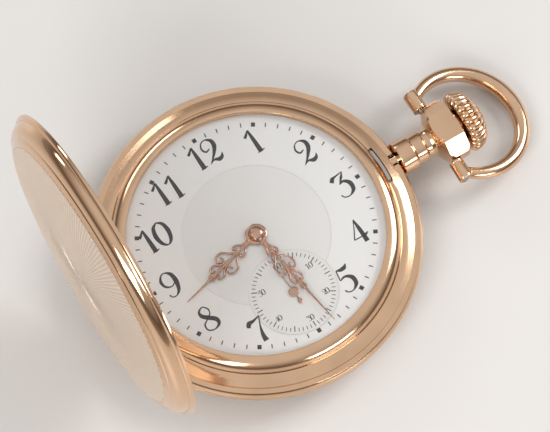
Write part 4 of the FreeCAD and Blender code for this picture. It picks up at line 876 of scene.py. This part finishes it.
class WATCH_OT_dial_print(bpy.types.Operator):
    """Numerals, minute track and seconds track"""
    bl_idname = "watch.dial_print"
    bl_label = "Dial numerals and tracks"

    def execute(self, context):
        top = corner_mm("dial", 1)[2] + 0.003
        strokes = []
        for hour in range(1, 13):
            if hour == 6:
                continue
            angle = math.radians(30 * hour)
            centre = (sizes().numeral_radius * math.sin(angle),
                      sizes().numeral_radius * math.cos(angle))
            strokes += figure_strokes(str(hour), centre, sizes().numeral_height, top)
        strokes += ticks(60, sizes().track_radius, 0.72, 0.085, (0, 0), top, skip=5)
        strokes += ticks(12, sizes().track_radius, 0.72, 0.33, (0, 0), top)
        middle, sunk = (0, -SECONDS_DROP), top - 0.16
        strokes += ticks(60, 6.35, 0.62, 0.055, middle, sunk, skip=5)
        strokes += ticks(12, 6.2, 0.95, 0.075, middle, sunk)
        figure_radius = 5.05
        for tens in range(1, 7):
            angle = math.radians(60 * tens)
            centre = (figure_radius * math.sin(angle),
                      figure_radius * math.cos(angle) - SECONDS_DROP)
            strokes += figure_strokes(str(10 * tens), centre, 0.95, sunk)
        piece("dial_printing", merged(strokes), "case", finish_of("ink"))
        return {"FINISHED"}


# ------------------------------------------------------------ hands

# Scrolls of one side of each hand, along and beside its length; the other side mirrors them.
HOUR_SCROLLS = [
    [(1.2, 0.45), (2.0, 0.30), (2.9, 0.42), (3.5, 0.9), (4.1, 1.15), (4.45, 0.85), (4.15, 0.55),
     (3.85, 0.75)],
    [(4.0, 0.18), (4.8, 0.35), (5.4, 1.0), (6.1, 1.8), (7.1, 1.95), (7.7, 1.35), (7.35, 0.75),
     (6.75, 0.8), (6.7, 1.25), (7.0, 1.3)],
    [(5.9, 0.22), (6.7, 0.25), (7.9, 0.65), (8.6, 1.2), (9.4, 1.05), (9.5, 0.6), (9.1, 0.5),
     (9.0, 0.75)],
    [(8.3, 0.15), (9.4, 0.18), (10.2, 0.45), (10.5, 0.25), (10.2, 0.12)],
]
MINUTE_SCROLLS = [
    [(1.1, 0.4), (1.9, 0.25), (2.9, 0.35), (3.6, 0.75), (4.3, 0.85), (4.5, 0.5), (4.1, 0.42)],
    [(3.8, 0.16), (4.8, 0.28), (5.6, 0.8), (6.5, 1.45), (7.6, 1.5), (8.1, 1.0), (7.7, 0.58),
     (7.15, 0.7), (7.2, 1.0)],
    [(6.2, 0.18), (7.4, 0.2), (8.6, 0.5), (9.5, 0.95), (10.4, 0.8), (10.5, 0.42), (10.1, 0.4)],
    [(9.4, 0.14), (10.6, 0.15), (11.6, 0.36), (11.9, 0.2), (11.6, 0.1)],
]


def hand_surface(scrolls, length, needle_start, boss, thick):
    """An openwork hand along +X at height zero: boss, spine, mirrored scrolls and needle."""
    parts = []
    for points in scrolls:
        path = spline(points, 9)
        share = np.linspace(0, 1, len(path))
        width = 0.15 - 0.06 * share + 0.04 * np.sin(np.pi * share)
        for side in (1, -1):
            parts.append(strip(path * (1, side), width, thick * 1.5, 0.0, DOMED))
    spine = spline([(0.9, 0), (needle_start, 0)], 24)
    width = 0.2 + 0.06 * np.sin(np.linspace(0, 4 * np.pi, len(spine)))
    parts.append(strip(spine, width, thick * 1.3, 0.0, DOMED))
    needle = spline([(needle_start - 1.2, 0), (length, 0)], 24)
    share = np.linspace(0, 1, len(needle))
    parts.append(strip(needle, 0.2 * (1 - share) ** 0.8 + 0.045, thick * 1.2, 0.0, DOMED))
    parts.append(lathe(boss, 72, closed=True))
    return merged(parts)


def hand_matrix(centre, height, tip_node):
    """Puts a hand on its pin, pointing where the frame's own hand points."""
    vertices = np.array([v.co for v in frame["nodes"][tip_node].data.vertices]) / MM
    away = vertices[:, :2] - np.array(centre)
    far = away[np.argmax(np.hypot(*away.T))]
    return (Matrix.Translation((*centre, height))
            @ Matrix.Rotation(math.atan2(far[1], far[0]), 4, "Z"))


class WATCH_OT_hands(bpy.types.Operator):
    """Openwork hour and minute hands and the slender seconds hand"""
    bl_idname = "watch.hands"
    bl_label = "Hands"

    def execute(self, context):
        gold = finish_of("hand_gold")
        hour_boss = rounded([(1.16, 0), (1.75, 0), (1.75, 0.12), (1.55, 0.2), (1.16, 0.2)], 0.05)
        hour = hand_surface(HOUR_SCROLLS, 15.7, 10.2, hour_boss, 0.13)
        height = corner_mm("hour_hand", 0)[2]
        piece("hour_hand_openwork", moved(hour, hand_matrix((0, 0), height, "hour_hand")), "hour",
              gold, ("hour_hand",), 45)
        minute_boss = np.vstack([
            [(0.0, 0.34), (0.0, 0.72)],
            arc((0.25, 0.71), (1.3, 0.22), -0.14, 8),
            [(1.36, 0.1), (1.34, 0.0), (0.8, 0.0), (0.8, 0.36)],
        ])
        minute = hand_surface(MINUTE_SCROLLS, 19.0, 11.4, minute_boss, 0.13)
        height = corner_mm("minute_hand", 0)[2]
        piece("minute_hand_openwork", moved(minute, hand_matrix((0, 0), height, "minute_hand")),
              "centre", gold, ("minute_hand",), 45)
        arm = spline([(-1.4, 0), (0, 0), (6.3, 0)], 12)
        share = np.linspace(0, 1, len(arm))
        seconds = [strip(arm, 0.13 - 0.085 * share, 0.1, 0.0, DOMED)]
        leaf = spline([(-2.4, 0), (-1.9, 0), (-1.2, 0)], 8)
        share = np.linspace(0, 1, len(leaf))
        seconds.append(strip(leaf, 0.05 + 0.3 * np.sin(np.pi * share), 0.1, 0.0, DOMED))
        seconds.append(lathe(np.vstack([[(0, 0.0), (0.8, 0.0), (0.8, 0.08)],
                                        arc((0.78, 0.1), (0.2, 0.16), 0.02, 5), [(0, 0.16)]]),
                             48, closed=False))
        height = corner_mm("seconds_hand", 0)[2]
        piece("seconds_hand_slender",
              moved(merged(seconds), hand_matrix((0, -SECONDS_DROP), height, "seconds_hand")), "fourth",
              gold, ("seconds_hand",), 45)
        return {"FINISHED"}


# ------------------------------------------------------------ works and stage

class WATCH_OT_works(bpy.types.Operator):
    """Finishes for the movement, hinges and screws"""
    bl_idname = "watch.works"
    bl_label = "Movement finishes"

    def execute(self, context):
        slots = {part["node"]: part["material_slot"] for part in frame["record"]["subparts"]}
        for name, node in frame["nodes"].items():
            node.data.materials.clear()
            node.data.materials.append(finish_of(slots[name]))
        return {"FINISHED"}


class WATCH_OT_stage(bpy.types.Operator):
    """Pale table, soft lights and camera"""
    bl_idname = "watch.stage"
    bl_label = "Table, lights and camera"

    def execute(self, context):
        half = 0.9
        mesh = bpy.data.meshes.new("table_top")
        mesh.from_pydata([(-half, -half, 0), (half, -half, 0), (half, half, 0), (-half, half, 0)],
                         [], [(0, 1, 2, 3)])
        mesh.materials.append(pale_table("table_top", colour("table")))
        table = bpy.data.objects.new("table_top", mesh)
        context.scene.collection.objects.link(table)
        lights = (
            ("key_box", (0.62, -0.02, 0.42), (0.34, 0.30), 3.4, (1.0, 0.985, 0.96)),
            ("fill_box", (-0.42, -0.26, 0.40), (0.30, 0.26), 1.8, (1.0, 0.98, 0.96)),
            ("back_box", (-0.05, 0.60, 0.30), (0.30, 0.14), 0.5, (1.0, 0.98, 0.95)),
            ("edge_box", (0.12, -0.60, 0.20), (0.30, 0.14), 0.8, (1.0, 0.97, 0.94)),
        )
        for name, place, size, watts, tint in lights:
            data = bpy.data.lights.new(name, "AREA")
            data.shape = "RECTANGLE"
            data.size, data.size_y = size
            data.energy = watts
            data.color = tint
            lamp = bpy.data.objects.new(name, data)
            lamp.location = place
            aim = Vector((0, 0, 0.01)) - Vector(place)
            lamp.rotation_euler = aim.to_track_quat("-Z", "Y").to_euler()
            context.scene.collection.objects.link(lamp)
        world = bpy.data.worlds.new("studio")
        world.use_nodes = True
        nodes, links = world.node_tree.nodes, world.node_tree.links
        background = nodes["Background"]
        where = nodes.new("ShaderNodeTexCoord")
        split = nodes.new("ShaderNodeSeparateXYZ")
        ramp = nodes.new("ShaderNodeValToRGB")
        links.new(where.outputs["Generated"], split.inputs["Vector"])
        links.new(split.outputs["Z"], ramp.inputs["Fac"])
        stops = ramp.color_ramp.elements
        stops[0].position, stops[0].color = 0.0, (0.34, 0.30, 0.27, 1)
        stops[1].position, stops[1].color = 0.98, (0.86, 0.85, 0.84, 1)
        for position, tone in ((0.22, (0.16, 0.12, 0.10, 1)), (0.5, (0.46, 0.43, 0.41, 1)),
                               (0.8, (0.80, 0.79, 0.78, 1))):
            stops.new(position).color = tone
        links.new(ramp.outputs["Color"], background.inputs["Color"])
        background.inputs["Strength"].default_value = 0.9
        context.scene.world = world
        context.scene.view_settings.view_transform = "Standard"
        make_camera(context)
        return {"FINISHED"}


def make_camera(context):
    """The camera: looking down over the dial from its lower left."""
    azimuth, elevation, roll = (math.radians(v) for v in (-30.84, 68.70, -0.87))
    distance, target = 0.79085, Vector((0.00396, 0.00106, 0.009))
    back = Vector((math.sin(azimuth) * math.cos(elevation), -math.cos(azimuth) * math.cos(elevation),
                   math.sin(elevation)))
    right = (-back).cross(Vector((0, 0, 1))).normalized()
    up = right.cross(-back)
    side = right * math.cos(roll) + up * math.sin(roll)
    head = up * math.cos(roll) - right * math.sin(roll)
    data = bpy.data.cameras.new("camera")
    data.sensor_width = 36.0
    data.lens = 327.3
    data.shift_x, data.shift_y = 0.0018, 0.0011
    data.clip_start, data.clip_end = 0.01, 10
    camera = bpy.data.objects.new("camera", data)
    turn = Matrix((side, head, back)).transposed().to_4x4()
    camera.matrix_world = Matrix.Translation(target + back * distance) @ turn
    context.scene.collection.objects.link(camera)
    context.scene.camera = camera


class WATCH_PT_panel(bpy.types.Panel):
    """Sidebar panel that lists the watch's pieces"""
    bl_idname = "WATCH_PT_panel"
    bl_label = "Pocket Watch"
    bl_space_type = "VIEW_3D"
    bl_region_type = "UI"
    bl_category = "Watch"

    def draw(self, context):
        for group in (context.scene.watch_sizes, context.scene.watch_colours):
            for name in group.bl_rna.properties.keys():
                if name not in ("name", "rna_type"):
                    self.layout.prop(group, name)
        for operator in OPERATORS:
            self.layout.operator(operator.bl_idname)


OPERATORS = (WATCH_OT_works, WATCH_OT_case, WATCH_OT_front_cover, WATCH_OT_back_cover,
             WATCH_OT_pendant, WATCH_OT_bow, WATCH_OT_crown, WATCH_OT_dial, WATCH_OT_dial_print,
             WATCH_OT_hands, WATCH_OT_stage)
CLASSES = (WatchSizes, WatchColours, *OPERATORS, WATCH_PT_panel)


def register():
    """Registers the classes and hangs the user's sizes and colours on the scene."""
    for cls in CLASSES:
        bpy.utils.register_class(cls)
    bpy.types.Scene.watch_sizes = PointerProperty(type=WatchSizes)
    bpy.types.Scene.watch_colours = PointerProperty(type=WatchColours)


def unregister():
    """Takes the classes and settings away again."""
    del bpy.types.Scene.watch_colours
    del bpy.types.Scene.watch_sizes
    for cls in reversed(CLASSES):
        bpy.utils.unregister_class(cls)


def main():
    """Builds the whole watch."""
    register()
    for operator in OPERATORS:
        group, name = operator.bl_idname.split(".")
        getattr(getattr(bpy.ops, group), name)()


if __name__ == "__main__":
    main()
